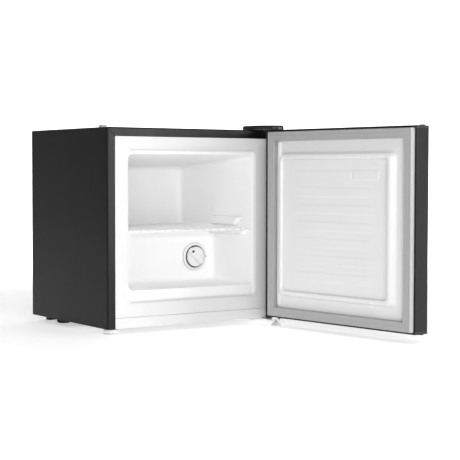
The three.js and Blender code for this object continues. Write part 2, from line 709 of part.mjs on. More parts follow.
function doorRibs() {
  const ribs = [];
  for (let i = 0; i < DOOR_RIB_COUNT; i += 1) {
    const z = DOOR_MIDDLE + ((DOOR_RIB_COUNT - 1) / 2 - i) * DOOR_RIB_PITCH;
    const freeEnd = i === 0 ? -46 : -121;
    ribs.push(alongY(rectangle(freeEnd, 146, z - DOOR_RIB_HEIGHT / 2, z + DOOR_RIB_HEIGHT / 2, 8),
      DOOR_INNER - 20, DOOR_INNER + DOOR_PANEL_LEVEL + DOOR_RIB_RISE));
  }
  return ribs;
}

// A plain raised plate fills the end of the first rib.
function plaque() {
  const z = DOOR_MIDDLE + ((DOOR_RIB_COUNT - 1) / 2) * DOOR_RIB_PITCH;
  return alongY(rectangle(-131, -54, z - 11, z + 11, 3), DOOR_INNER - 20,
    DOOR_INNER + DOOR_PANEL_LEVEL + DOOR_RIB_RISE);
}

function doorLiner() {
  const face = linerFace();
  return cut(face, face.translate([0, -LINER, 0]),
    block(-HALF, HALF, DOOR_OUTER - 30, DOOR_INNER - LINER - 0.01, 0, TOP));
}

function doorInsulation() {
  const behind = linerRelief().translate([0, -LINER - GAP, 0]);
  const inside = HALF - SHEET - 1;
  const room = block(-inside, inside, DOOR_OUTER + 4.6, DOOR_INNER + 20,
    DOOR_LOW + DOOR_CAP + GAP, DOOR_HIGH - DOOR_CAP - GAP);
  const core = block(-inside, inside, DOOR_OUTER + 4.6, DOOR_INNER - LINER - GAP,
    DOOR_LOW + DOOR_CAP + GAP, DOOR_HIGH - DOOR_CAP - GAP);
  const bushings = [DOOR_LOW, DOOR_HIGH].flatMap((z) => [-1, 1].map((side) => disc(8.5,
    side * HINGE_X, HINGE_Y, z - 22, z + 22, 16)));
  return cut(join(core, behind).intersect(room), ...bushings);
}

function doorGasket() {
  const outer = [-HALF + DOOR_RIM, HALF - DOOR_RIM, DOOR_LOW + DOOR_RIM, DOOR_HIGH - DOOR_RIM];
  const inner = [outer[0] + GASKET_WIDTH, outer[1] - GASKET_WIDTH,
    outer[2] + GASKET_WIDTH, outer[3] - GASKET_WIDTH];
  const low = DOOR_INNER + GAP;
  const high = DOOR_INNER + GASKET_HEIGHT;
  const frame = alongY(rectangle(...outer, 2), low, high);
  const window = alongY(rectangle(...inner, 1), low - 1, high + 1);
  const groove = 4;
  const waistOuter = cut(alongY(rectangle(outer[0] - 2, outer[1] + 2, outer[2] - 2, outer[3] + 2,
    1), low + 3, low + 6), alongY(rectangle(outer[0] + groove, outer[1] - groove,
    outer[2] + groove, outer[3] - groove, 1), low + 2, low + 7));
  return cut(frame, window, waistOuter);
}

function bushing(z0, z1) {
  const ring = turned([[0, z0], [6, z0], [6, z1], [0, z1]], HINGE_X, HINGE_Y, 20);
  const bore = disc(PIN_RADIUS + 0.3, HINGE_X, HINGE_Y, z0 - 1, z1 + 1, 16);
  return cut(ring, bore);
}

function spareHolePlug(z, direction) {
  const low = direction > 0 ? z - 9 : z - 2.6;
  const high = direction > 0 ? z + 2.6 : z + 9;
  const stem = disc(4.6, -HINGE_X, HINGE_Y, low, high, 20);
  const edge = z + direction * GAP;
  const head = disc(6.2, -HINGE_X, HINGE_Y, Math.min(edge, edge + direction * 2.3),
    Math.max(edge, edge + direction * 2.3), 20);
  return join(stem, head);
}

// ---------------------------------------------------------------- assembly
add(cabinet, 'outer_wrap', blackSteel, outerWrap());
add(cabinet, 'back_panel', zincSteel, backPanel());
add(cabinet, 'machine_room_wall', zincSteel, machineRoomWall());
add(cabinet, 'base_pan', zincSteel, basePan());
add(cabinet, 'kick_panel', whitePlastic, kickPanel());
add(cabinet, 'inner_liner', whitePlastic, innerLiner());
add(cabinet, 'cabinet_insulation', foam, cabinetInsulation());
add(cabinet, 'compressor_plate', blackSteel, compressorPlate());
add(cabinet, 'compressor', compressorPaint, compressor());
mountSpots().forEach((spot, i) => {
  add(cabinet, `compressor_grommet_${i + 1}`, blackRubber, grommet(spot));
});
add(cabinet, 'compressor_relay_cover', darkCap, relayCover());
add(cabinet, 'filter_drier', copper, filterDrier());
add(cabinet, 'discharge_pipe', copper, dischargePipe());
add(cabinet, 'suction_pipe', copper, suctionPipe());
add(cabinet, 'process_pipe', copper, processPipe());
add(cabinet, 'capillary_tube', copper, capillaryTube());
add(cabinet, 'condenser_coil', zincSteel, condenserCoil());
add(cabinet, 'evaporator_coil', zincSteel, evaporatorCoil());
add(cabinet, 'cord_bracket', zincSteel, cordBracket());
add(cabinet, 'cord_gland', darkCap, cordGland());
add(cabinet, 'thermostat_body', whitePlastic, thermostatBody());
add(cabinet, 'dial_escutcheon', whitePlastic, dialEscutcheon());
add(cabinet, 'thermostat_knob', whitePlastic, thermostatKnob());
add(cabinet, 'wire_shelf', whiteWire, wireShelf());
add(cabinet, 'upper_hinge_plate', zincSteel, upperHingePlate());
add(cabinet, 'upper_hinge_pin', zincSteel, upperHingePin());
SCREW_SPOTS.forEach((spot, i) => {
  add(cabinet, `upper_hinge_screw_${i + 1}`, zincSteel, screw(spot, PLATE_HIGH + 0.2, TOP + 0.2));
});
add(cabinet, 'upper_hinge_cover', darkCap, upperHingeCover());
add(cabinet, 'lower_hinge_bracket', zincSteel, lowerHingeBracket());
add(cabinet, 'lower_hinge_pin', zincSteel, lowerHingePin());
LOWER_SCREW_SPOTS.forEach((spot, i) => {
  add(cabinet, `lower_hinge_screw_${i + 1}`, zincSteel, lowerScrew(spot));
});
add(cabinet, 'spare_hole_cover', greyRubber, spareHoleCover());
add(cabinet, 'front_left_foot', whitePlastic, knurledFoot());
add(cabinet, 'front_right_foot', whitePlastic, conicalFoot());
add(cabinet, 'rear_left_foot', blackRubber, rearFoot(-1));
add(cabinet, 'rear_right_foot', blackRubber, rearFoot(1));

add(door, 'door_skin', blackSteel, doorSkin());
add(door, 'door_top_cap', darkCap, doorCap(DOOR_HIGH - DOOR_CAP + GAP, DOOR_HIGH, DOOR_HIGH));
add(door, 'door_bottom_cap', darkCap, doorCap(DOOR_LOW, DOOR_LOW + DOOR_CAP - GAP, DOOR_LOW));
add(door, 'door_liner', whitePlastic, doorLiner());
add(door, 'door_insulation', foam, doorInsulation());
add(door, 'door_gasket', greyRubber, doorGasket());
add(door, 'upper_bushing', whitePlastic, bushing(DOOR_HIGH - 16, DOOR_HIGH - 0.2));
add(door, 'lower_bushing', whitePlastic, bushing(DOOR_LOW + 0.2, DOOR_LOW + 15));
add(door, 'spare_hole_plug', darkCap, spareHolePlug(DOOR_HIGH, 1));
add(door, 'lower_hole_plug', darkCap, spareHolePlug(DOOR_LOW, -1));

// The door turns about the hinge pins and stands open.
door.position.set(-HINGE_X, -HINGE_Y, 0);
doorPivot.position.set(HINGE_X, HINGE_Y, 0);
doorPivot.rotation.z = OPEN;
doorPivot.add(door);

// The origin is at the middle of the floor area that the open freezer covers.
const freezer = new THREE.Group();
freezer.add(cabinet, doorPivot);
freezer.updateMatrixWorld(true);
const extent = new THREE.Box3().setFromObject(freezer, true);
const centre = extent.getCenter(new THREE.Vector3());
freezer.position.set(-centre.x, -centre.y, -extent.min.z);
freezer.updateMatrixWorld(true);

export default freezer;
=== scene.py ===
import math

import bmesh
import bpy
from mathutils import Matrix, Vector


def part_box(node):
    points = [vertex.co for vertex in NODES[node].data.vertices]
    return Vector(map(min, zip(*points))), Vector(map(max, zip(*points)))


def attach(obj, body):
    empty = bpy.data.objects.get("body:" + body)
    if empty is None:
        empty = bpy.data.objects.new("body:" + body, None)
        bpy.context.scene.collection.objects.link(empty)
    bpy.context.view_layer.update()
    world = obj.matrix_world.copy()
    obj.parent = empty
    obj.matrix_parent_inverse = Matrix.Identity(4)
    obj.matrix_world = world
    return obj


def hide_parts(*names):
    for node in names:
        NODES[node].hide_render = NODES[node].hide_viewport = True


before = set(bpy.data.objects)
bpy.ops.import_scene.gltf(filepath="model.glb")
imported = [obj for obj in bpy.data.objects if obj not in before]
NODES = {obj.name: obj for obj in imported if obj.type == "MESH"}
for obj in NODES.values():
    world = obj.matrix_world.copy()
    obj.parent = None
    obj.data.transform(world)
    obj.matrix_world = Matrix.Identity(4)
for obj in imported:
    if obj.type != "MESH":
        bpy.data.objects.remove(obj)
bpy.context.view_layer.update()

# ------------------------------------------------------------------ where the object is
# Lengths below are millimetres in the cabinet's own coordinates: x = 0 is its middle,
# y = 0 its front plane and z = 0 the floor. at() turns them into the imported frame.
WRAP_LOW, WRAP_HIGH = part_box("outer_wrap")
SHIFT_X = (WRAP_LOW.x + WRAP_HIGH.x) / 2
SHIFT_Y = WRAP_LOW.y
HALF = (WRAP_HIGH.x - WRAP_LOW.x) * 500
DEPTH = (WRAP_HIGH.y - WRAP_LOW.y) * 1000
BASE = WRAP_LOW.z * 1000
TOP = WRAP_HIGH.z * 1000
PIN_LOW, PIN_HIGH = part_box("lower_hinge_pin")
HINGE_X = ((PIN_LOW.x + PIN_HIGH.x) / 2 - SHIFT_X) * 1000
HINGE_Y = ((PIN_LOW.y + PIN_HIGH.y) / 2 - SHIFT_Y) * 1000
OPEN = math.radians(96.4)


def at(x, y, z):
    return Vector((SHIFT_X + x / 1000, SHIFT_Y + y / 1000, z / 1000))


def door_at(x, y, z):
    """A point of the shut door, turned to where the open door has it."""
    dx, dy = x - HINGE_X, y - HINGE_Y
    c, s = math.cos(OPEN), math.sin(OPEN)
    return at(HINGE_X + c * dx - s * dy, HINGE_Y + s * dx + c * dy, z)


# ------------------------------------------------------------------ camera
camera_data = bpy.data.cameras.new("camera")
camera = bpy.data.objects.new("camera", camera_data)
bpy.context.scene.collection.objects.link(camera)
YAW, PITCH, ROLL = math.radians(34.546), math.radians(2.6095), math.radians(0.0892)
forward = Vector((math.sin(YAW) * math.cos(PITCH), math.cos(YAW) * math.cos(PITCH), -math.sin(PITCH)))
right = Vector((math.cos(YAW), -math.sin(YAW), 0))
up = right.cross(forward)
turned_right = right * math.cos(ROLL) + up * math.sin(ROLL)
turned_up = up * math.cos(ROLL) - right * math.sin(ROLL)
camera.matrix_world = Matrix((
    (turned_right.x, turned_up.x, -forward.x, -1.71431),
    (turned_right.y, turned_up.y, -forward.y, -2.54527),
    (turned_right.z, turned_up.z, -forward.z, 0.38235),
    (0, 0, 0, 1)))
camera_data.lens = 100.64
camera_data.sensor_width = 36
camera_data.clip_end = 60
bpy.context.scene.camera = camera


# ------------------------------------------------------------------ materials
class Nodes:
    """A material's node tree, with short calls to add what the finishes below share."""

    def __init__(self, name):
        self.material = bpy.data.materials.new(name)
        self.material.use_nodes = True
        self.tree = self.material.node_tree
        self.shader = self.tree.nodes["Principled BSDF"]
        self.place = self.tree.nodes.new("ShaderNodeTexCoord").outputs["Object"]
        self.height = None

    def add(self, kind, **settings):
        node = self.tree.nodes.new(kind)
        for key, value in settings.items():
            setattr(node, key, value)
        return node

    def link(self, source, target):
        self.tree.links.new(source, target)

    def stretched(self, scale):
        node = self.add("ShaderNodeMapping")
        node.inputs["Scale"].default_value = scale
        self.link(self.place, node.inputs["Vector"])
        return node.outputs["Vector"]

    def noise(self, scale, detail=2.0, rough=0.5, stretch=None):
        node = self.add("ShaderNodeTexNoise")
        node.inputs["Scale"].default_value = scale
        node.inputs["Detail"].default_value = detail
        node.inputs["Roughness"].default_value = rough
        self.link(self.stretched(stretch) if stretch else self.place, node.inputs["Vector"])
        return node.outputs["Fac"]

    def voronoi(self, scale):
        node = self.add("ShaderNodeTexVoronoi")
        node.inputs["Scale"].default_value = scale
        self.link(self.place, node.inputs["Vector"])
        return node

    def ranged(self, value, low, high, out_low=0.0, out_high=1.0):
        node = self.add("ShaderNodeMapRange")
        ends = {"From Min": low, "From Max": high, "To Min": out_low, "To Max": out_high}
        for name, end in ends.items():
            node.inputs[name].default_value = end
        self.link(value, node.inputs["Value"])
        return node.outputs["Result"]

    def maths(self, operation, a, b=None):
        node = self.add("ShaderNodeMath", operation=operation)
        for socket, value in zip(node.inputs, (a, b)):
            if value is None:
                continue
            if isinstance(value, (int, float)):
                socket.default_value = value
            else:
                self.link(value, socket)
        return node.outputs["Value"]

    def mixed(self, amount, a, b):
        node = self.add("ShaderNodeMix", data_type="RGBA")
        self.link(amount, node.inputs["Factor"])
        for socket, value in ((node.inputs["A"], a), (node.inputs["B"], b)):
            if isinstance(value, (tuple, list)):
                socket.default_value = (*value, 1.0)
            else:
                self.link(value, socket)
        return node.outputs["Result"]

    def edges(self, radius=0.0012, low=0.004, high=0.10):
        """1 on convex and concave edges within the radius, 0 on flat faces."""
        bevel = self.add("ShaderNodeBevel", samples=4)
        bevel.inputs["Radius"].default_value = radius
        flat = self.add("ShaderNodeNewGeometry")
        dot = self.add("ShaderNodeVectorMath", operation="DOT_PRODUCT")
        self.link(bevel.outputs["Normal"], dot.inputs[0])
        self.link(flat.outputs["Normal"], dot.inputs[1])
        away = self.maths("SUBTRACT", 1.0, dot.outputs["Value"])
        return self.ranged(away, low, high)

    def bump(self, height, distance, strength=1.0):
        node = self.add("ShaderNodeBump")
        node.inputs["Distance"].default_value = distance
        node.inputs["Strength"].default_value = strength
        self.link(height, node.inputs["Height"])
        if self.height is not None:
            self.link(self.height, node.inputs["Normal"])
        self.height = node.outputs["Normal"]
        self.link(self.height, self.shader.inputs["Normal"])

    def colour(self, socket):
        self.link(socket, self.shader.inputs["Base Color"])

    def rough(self, socket):
        self.link(socket, self.shader.inputs["Roughness"])

    def set(self, **values):
        for key, value in values.items():
            self.shader.inputs[key.replace("_", " ")].default_value = value
        return self.material


def grey(value, tint=(0.0, 0.0, 0.0)):
    return tuple(max(0.0, value * (1 + t)) for t in tint)


def painted_steel(name, base, wear, roughness):
    """Satin coated sheet: fine orange peel, faint cloudiness and slightly rubbed edges."""
    n = Nodes(name)
    cloud = n.ranged(n.noise(7, 3, 0.55), 0.3, 0.7)
    tone = n.mixed(cloud, grey(base * 0.92), grey(base * 1.08, (0.0, 0.0, 0.02)))
    speck = n.ranged(n.noise(900, 2), 0.35, 0.75, 0.0, 0.35)
    tone = n.mixed(speck, tone, grey(base * 1.5))
    rub = n.maths("MULTIPLY", n.edges(), n.ranged(n.noise(45, 4), 0.35, 0.65, 0.35, 1.0))
    n.colour(n.mixed(rub, tone, grey(wear)))
    smear = n.noise(16, 5, 0.6, (1, 1, 0.4))
    n.rough(n.ranged(smear, 0.3, 0.7, roughness - 0.02, roughness + 0.03))
    n.bump(n.noise(520, 2, 0.5), 0.00012, 0.5)
    n.bump(n.noise(1500, 2, 0.6), 0.00005, 0.5)
    return n.set(Metallic=0.0, Specular_IOR_Level=0.15)


def white_sheet(name, base, roughness, grain, deep=None):
    """White plastic: soft unevenness, fine grain, painted shade in hollows and along edges; deep is a brighter
    base behind the flange, painted light.
    """
    n = Nodes(name)
    cloud = n.ranged(n.noise(9, 3, 0.5), 0.3, 0.7)
    tone = n.mixed(cloud, grey(base * 0.985), grey(base))
    # Painted light: the liner is one white sheet, but the cavity behind the flange gets the brighter base deep
    # and the flange the darker base.
    if deep:
        split = n.add("ShaderNodeSeparateXYZ")
        n.link(n.place, split.inputs["Vector"])
        inside = n.ranged(split.outputs["Y"], SHIFT_Y + 0.003, SHIFT_Y + 0.012)
        tone = n.mixed(inside, tone, grey(deep))
    # Painted shade: edges and creases are darkened towards 93% of the base, at about a third strength.
    edge = n.maths("MULTIPLY", n.edges(0.0016), 0.35)
    tone = n.mixed(edge, tone, grey(base * 0.93))
    # Painted shade: an ambient-occlusion mask darkens the colour towards grey 0.30 in creases, grooves and
    # hollows.
    hollow = n.add("ShaderNodeAmbientOcclusion", samples=6)
    hollow.inputs["Distance"].default_value = 0.0045
    painted_crevice_shade = n.ranged(hollow.outputs["AO"], 0.80, 0.45, 0.0, 0.75)
    n.colour(n.mixed(painted_crevice_shade, tone, grey(0.30)))
    n.rough(n.ranged(n.noise(30, 4, 0.6), 0.3, 0.7, roughness - 0.05, roughness + 0.08))
    n.bump(n.noise(14, 2, 0.4), 0.0006, 0.16)
    n.bump(n.noise(grain, 3, 0.6), 0.00006, 0.45)
    return n.set(Metallic=0.0, Specular_IOR_Level=0.45)


def dark_plastic(name, base, roughness):
    """Moulded black plastic: spark-eroded grain, shinier and paler where it is handled."""
    n = Nodes(name)
    cloud = n.ranged(n.noise(20, 3), 0.3, 0.7)
    tone = n.mixed(cloud, grey(base * 0.85), grey(base * 1.15))
    wear = n.maths("MULTIPLY", n.edges(0.0011), n.ranged(n.noise(60, 4), 0.35, 0.7, 0.3, 1.0))
    n.colour(n.mixed(wear, tone, grey(base * 2.6 + 0.01)))
    n.rough(n.ranged(n.noise(38, 4), 0.3, 0.7, roughness - 0.06, roughness + 0.08))
    n.bump(n.noise(700, 3, 0.65), 0.00012, 0.6)
    return n.set(Metallic=0.0, Specular_IOR_Level=0.4)


def rubber(name, base, roughness):
    """Extruded or moulded rubber: matt, with a dusty bloom in patches."""
    n = Nodes(name)
    bloom = n.ranged(n.noise(55, 5, 0.6), 0.35, 0.75)
    tone = n.mixed(bloom, grey(base), grey(base * 1.04 + 0.003))
    edge = n.maths("MULTIPLY", n.edges(0.0012), 0.5)
    n.colour(n.mixed(edge, tone, grey(base * 0.86)))
    n.rough(n.ranged(n.noise(90, 3), 0.3, 0.7, roughness - 0.06, roughness + 0.06))
    n.bump(n.noise(1100, 3, 0.6), 0.00008, 0.5)
    return n.set(Metallic=0.0, Specular_IOR_Level=0.3)


def plated_steel(name, base, roughness, cell, brushed=False):
    """Zinc plate or galvanised sheet: crystal spangle or brushing, dull patches, bright edges."""
    n = Nodes(name)
    voronoi = n.voronoi(cell)
    split = n.add("ShaderNodeSeparateColor")
    n.link(voronoi.outputs["Color"], split.inputs["Color"])
    spangle = split.outputs["Red"]
    tone = n.mixed(spangle, grey(base * 0.80), grey(base * 1.05, (0.0, 0.01, 0.03)))
    dull = n.ranged(n.noise(24, 5, 0.6), 0.4, 0.7, 0.0, 0.6)
    tone = n.mixed(dull, tone, grey(base * 0.68))
    n.colour(n.mixed(n.edges(0.0009), tone, grey(min(0.95, base * 1.25))))
    n.rough(n.ranged(n.maths("ADD", spangle, n.noise(60, 4)), 0.3, 1.5, roughness - 0.08, roughness + 0.14))
    if brushed:
        n.bump(n.noise(300, 2, 0.5, (1, 12, 12)), 0.00004, 0.5)
    n.bump(n.noise(800, 2), 0.00004, 0.4)
    return n.set(Metallic=0.9)


def copper_pipe(name):
    """Drawn copper tube with brown heat stains."""
    n = Nodes(name)
    stain = n.ranged(n.noise(70, 5, 0.65), 0.38, 0.68)
    n.colour(n.mixed(stain, (0.66, 0.27, 0.14), (0.36, 0.12, 0.06)))
    n.rough(n.ranged(n.noise(140, 4), 0.3, 0.7, 0.22, 0.48))
    n.bump(n.noise(500, 3), 0.00006, 0.5)
    return n.set(Metallic=1.0)


def rigid_foam(name):
    """Yellow polyurethane foam with open cut cells."""
    n = Nodes(name)
    cells = n.ranged(n.voronoi(900).outputs["Distance"], 0.0, 0.6)
    n.colour(n.mixed(cells, (0.86, 0.72, 0.34), (0.70, 0.55, 0.22)))
    n.rough(n.ranged(n.noise(40), 0.3, 0.7, 0.85, 0.98))
    n.bump(cells, 0.0003, 0.8)
    return n.set(Metallic=0.0, Specular_IOR_Level=0.15)


# The door's black (0.017) is painted over three times lighter than the casing's (0.005), though both are the
# same coating: painted light on the door's end face.
CASING = painted_steel("casing_black", 0.0050, 0.035, 0.33)
DOOR_STEEL_PAINTED_LIGHT = painted_steel("door_black_painted_light", 0.0170, 0.08, 0.34)
BLACK_PLASTIC = dark_plastic("cap_black", 0.0085, 0.42)
COVER_PLASTIC = dark_plastic("cover_black", 0.0085, 0.38)
# The liner's flange (0.67) is painted darker than its cavity (0.985): painted shade on the front, painted
# light inside.
LINER_WHITE_PAINTED_LIGHT_INSIDE = white_sheet("liner_white", 0.67, 0.46, 700, deep=0.985)
# Painted shade: the kick strip's white (0.68) is darker than the other white plastic (0.84), to hold back the
# strong light on the front.
KICK_WHITE_PAINTED_SHADE = white_sheet("kick_white_painted_shade", 0.68, 0.44, 900)
DOOR_WHITE = white_sheet("door_liner_white", 0.84, 0.36, 650)
PLASTIC_WHITE = white_sheet("plastic_white", 0.84, 0.42, 900)
KNOB_WHITE = white_sheet("knob_white", 0.87, 0.32, 1100)
CAP_GREY = white_sheet("cap_pale_grey", 0.52, 0.50, 900)
WIRE_WHITE = white_sheet("wire_coating_white", 0.93, 0.30, 420)
GASKET_GREY = rubber("gasket_grey", 0.42, 0.62)
RUBBER_BLACK = rubber("rubber_black", 0.012, 0.72)
ZINC = plated_steel("zinc_plate", 0.62, 0.34, 420, True)
GALVANISED = plated_steel("galvanised_sheet", 0.50, 0.40, 85)
ENAMEL = painted_steel("black_enamel", 0.010, 0.06, 0.30)
COPPER = copper_pipe("copper")
ALUMINIUM = plated_steel("aluminium_tube", 0.72, 0.30, 300)
FOAM = rigid_foam("foam_yellow")


# ------------------------------------------------------------------ mesh helpers
def piece(name, points, faces, material, body, slot, place=at, sharp=35.0, weighted=True):
    """A mesh from millimetre points and faces, shaded smooth, that rides on a body."""
    mesh = bpy.data.meshes.new(name)
    mesh.from_pydata([place(*p) for p in points], [], faces)
    mesh.validate()
    work = bmesh.new()
    work.from_mesh(mesh)
    bmesh.ops.remove_doubles(work, verts=work.verts, dist=1e-6)
    bmesh.ops.recalc_face_normals(work, faces=work.faces)
    work.to_mesh(mesh)
    work.free()
    mesh.polygons.foreach_set("use_smooth", [True] * len(mesh.polygons))
    mesh.set_sharp_from_angle(angle=math.radians(sharp))
    mesh.materials.append(material)
    obj = bpy.data.objects.new(name, mesh)
    bpy.context.scene.collection.objects.link(obj)
    if weighted:
        smooth = obj.modifiers.new("even_normals", "WEIGHTED_NORMAL")
        smooth.keep_sharp = True
        smooth.weight = 60
    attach(obj, body)
    return obj


def bridge(count, rings, closed=True):
    """Quads between rings of count points each, numbered one ring after another."""
    faces = []
    for r in range(rings - 1):
        for i in range(count if closed else count - 1):
            a, b = r * count + i, r * count + (i + 1) % count
            faces.append((a, b, b + count, a + count))
    return faces


def lofted(rings, cap_first=True):
    """A skin over equal rings of points, closed at its last ring and mostly at its first."""
    count = len(rings[0])
    points = [p for ring in rings for p in ring]
    faces = bridge(count, len(rings))
    if cap_first:
        faces.append(tuple(range(count)))
    start = (len(rings) - 1) * count
    faces.append(tuple(start + i for i in reversed(range(count))))
    return points, faces


def rounded(a0, a1, b0, b1, radius, steps=6):
    """Outline points of a rectangle with round corners, counter-clockwise."""
    radius = max(0.0, min(radius, (a1 - a0) / 2, (b1 - b0) / 2))
    points = []
    for k, (ca, cb) in enumerate(((a1 - radius, b0 + radius), (a1 - radius, b1 - radius),
                                  (a0 + radius, b1 - radius), (a0 + radius, b0 + radius))):
        for i in range(steps + 1):
            angle = math.radians(-90 + 90 * k + 90 * i / steps)
            points.append((ca + radius * math.cos(angle), cb + radius * math.sin(angle)))
    return points


def arc(radius, start, end, steps):
    """(across, along) offsets of an arc, angles in degrees."""
    out = []
    for i in range(steps + 1):
        angle = math.radians(start + (end - start) * i / steps)
        out.append((radius * math.cos(angle), radius * math.sin(angle)))
    return out


def circle(count):
    """Angles of equal steps once round."""
    return [2 * math.pi * i / count for i in range(count)]


def revolved(profile, segments, axis_point, axis="z"):
    """A profile of (radius, height) points turned about the z or y axis through axis_point."""
    px, py, pz = axis_point
    rings = []
    for radius, height in profile:
        ring = []
        for angle in circle(segments):
            u, v = radius * math.cos(angle), radius * math.sin(angle)
            ring.append((px + u, py + v, height) if axis == "z" else (px + u, height, pz + v))
        rings.append(ring)
    return lofted(rings)


def combine(*parts):
    """Several (points, faces) as one."""
    points, faces = [], []
    for more_points, more_faces in parts:
        start = len(points)
        points.extend(more_points)
        faces.extend(tuple(start + i for i in face) for face in more_faces)
    return points, faces


def flat(a, b, height):
    return a, b, height


def upright(a, b, height):
    return a, height, b


def slab(outline, low, high, edge, lift=flat):
    """A plate with rounded edges: outline(inset) gives (a, b) points, low to high its thickness."""
    angles = [math.radians(30 * i) for i in range(4)]
    levels = [(edge * (1 - math.sin(t)), low + edge * (1 - math.cos(t))) for t in angles]
    levels += [(edge * (1 - math.cos(t)), high - edge * (1 - math.sin(t))) for t in angles]
    return lofted([[lift(a, b, height) for a, b in outline(inset)] for inset, height in levels])


def plate(a0, a1, b0, b1, radius, low, high, edge, lift=flat):
    """A slab with a rectangle's outline and round corners."""
    return slab(lambda e: rounded(a0 + e, a1 - e, b0 + e, b1 - e, radius - e), low, high, edge, lift)


def pipe(points, radius, sides, samples):
    """A round tube on a smooth curve through the points, with domed ends."""
    path = []
    n = len(points)
    for i in range(n - 1):
        p0 = Vector(points[max(i - 1, 0)])
        p1, p2 = Vector(points[i]), Vector(points[i + 1])
        p3 = Vector(points[min(i + 2, n - 1)])
        for k in range(samples):
            t = k / samples
            path.append(0.5 * ((2 * p1) + (p2 - p0) * t + (2 * p0 - 5 * p1 + 4 * p2 - p3) * t * t
                               + (3 * p1 - p0 - 3 * p2 + p3) * t ** 3))
    path.append(Vector(points[-1]))
    last = len(path) - 1
    tangents = [(path[min(i + 1, last)] - path[max(i - 1, 0)]).normalized() for i in range(len(path))]
    side = tangents[0].orthogonal().normalized()
    rings = []

    def ring(centre, tangent, size):
        nonlocal side
        side = (side - tangent * side.dot(tangent)).normalized()
        other = tangent.cross(side)
        return [tuple(centre + side * (size * math.cos(t)) + other * (size * math.sin(t)))
                for t in circle(sides)]

    def dome(end, angles):
        for angle in map(math.radians, angles):
            bulge = radius * 0.6 * math.sin(angle)
            centre = path[end] + tangents[end] * (bulge if end else -bulge)
            rings.append(ring(centre, tangents[end], radius * math.cos(angle)))

    dome(0, (80, 50, 25))
    for centre, tangent in zip(path, tangents):
        rings.append(ring(centre, tangent, radius))
    dome(-1, (25, 50, 80))
    return lofted(rings)


def shifted(points, distance):
    """A counter-clockwise polygon with every side moved outwards by distance."""
    out = []
    n = len(points)
    for i in range(n):
        before, here, after = Vector(points[i - 1]), Vector(points[i]), Vector(points[(i + 1) % n])
        first, second = (here - before).normalized(), (after - here).normalized()
        n1, n2 = Vector((first.y, -first.x)), Vector((second.y, -second.x))
        middle = (n1 + n2).normalized()
        out.append(tuple(here + middle * (distance / max(0.2, middle.dot(n1)))))
    return out


def softened(points, radius, steps=4):
    """The same polygon with its corners rounded."""
    out = []
    n = len(points)
    for i in range(n):
        before, here, after = Vector(points[i - 1]), Vector(points[i]), Vector(points[(i + 1) % n])
        reach_a = min(radius, (before - here).length * 0.49)
        reach_b = min(radius, (after - here).length * 0.49)
        a = here + (before - here).normalized() * reach_a
        b = here + (after - here).normalized() * reach_b
        for k in range(steps + 1):
            t = k / steps
            out.append(tuple(a * (1 - t) ** 2 + here * (2 * t * (1 - t)) + b * t * t))
    return out


# ------------------------------------------------------------------ casing
SHEET = 0.8
STRIP = 21.0
FOLD = 3.2
MITRE = 0.9


def wrap_ring(inset, y):
    """One line up the left side, over the top and down the right, inset from the outside."""
    steps = 6
    radius = max(FOLD - inset, 0.0)
    half, top = HALF - inset, TOP - inset
    points = [(-half, y, BASE)]
    for side in (-1, 1):
        corner = []
        for i in range(steps + 1):
            u = 2 * i / steps - 1
            if radius > 0.01:
                angle = math.radians(45 * (u + 1))
                corner.append((side * (half - radius + radius * math.cos(angle)), y,
                               top - radius + radius * math.sin(angle)))
            else:
                sunk = 0.9 * (1 - abs(u)) if y < 0.5 and inset > FOLD + 0.2 else 0.0
                corner.append((side * (half - max(u, 0) * MITRE), y + sunk, top + min(u, 0) * MITRE))
        points.extend(corner if side < 0 else reversed(corner))
    points.append((half, y, BASE))
    return points


def make_wrap():
    section = [(0, DEPTH), (0, DEPTH * 0.5), (0, FOLD)]
    section += [(FOLD - a, FOLD + b) for a, b in arc(FOLD, 0, -90, 6)][1:]
    section += [(FOLD + 0.3, 0), (FOLD + 0.8, 0), (STRIP - 0.6, 0), (STRIP - 0.15, 0.15), (STRIP, 0.5),
                (STRIP, SHEET), (FOLD, SHEET)]
    inner = FOLD - SHEET
    section += [(FOLD - a, FOLD + b) for a, b in reversed(arc(inner, 0, -90, 4))]
    section += [(SHEET, DEPTH * 0.5), (SHEET, DEPTH)]
    rings = [wrap_ring(d, y) for d, y in section]
    count = len(rings[0])
    points = [p for ring in rings for p in ring]
    faces = bridge(count, len(rings), closed=False)
    last = (len(rings) - 1) * count
    faces += [(last + i, last + i + 1, i + 1, i) for i in range(count - 1)]
    faces.append(tuple(r * count for r in range(len(rings))))
    faces.append(tuple(r * count + count - 1 for r in reversed(range(len(rings)))))
    wrap = piece("casing_wrap", points, faces, CASING, "cabinet", "casing", sharp=40)
    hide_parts("outer_wrap")


make_wrap()

kick_half = HALF - STRIP - 0.3
KICK_LOW, KICK_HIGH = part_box("kick_panel")
kick_z = (KICK_LOW.z * 1000, KICK_HIGH.z * 1000)
kick = piece("kick_strip", *slab(
    lambda e: rounded(-kick_half + e, kick_half - e, kick_z[0] + e, kick_z[1] - e, 1.6 - e * 0.8),
    0, 1.2, 0.55, upright), KICK_WHITE_PAINTED_SHADE, "cabinet", "white_plastic")
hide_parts("kick_panel")

# ------------------------------------------------------------------ cabinet liner
OPEN_HALF, OPEN_LOW, OPEN_HIGH, OPEN_R = 183.0, 74.0, 433.5, 13.0
MOUTH, WALL, FLOOR, STEP_Y, STEP_Z, BACK = 176.5, 169.5, 102.5, 177.0, 237.0, 328.0
LEAN = (MOUTH - WALL) / 346.0
SLOPE = 31.0 / 346.0
FILLET, WALL_R, CAVITY_FRONT = 12.5, 12.0, 14.0
TURN = 6


def ceiling(y):
    return 425.5 - (y + 18) * SLOPE


def wall(y):
    """Half the cavity's width: its sides lean inwards towards the back."""
    return MOUTH - (y - 2) * LEAN


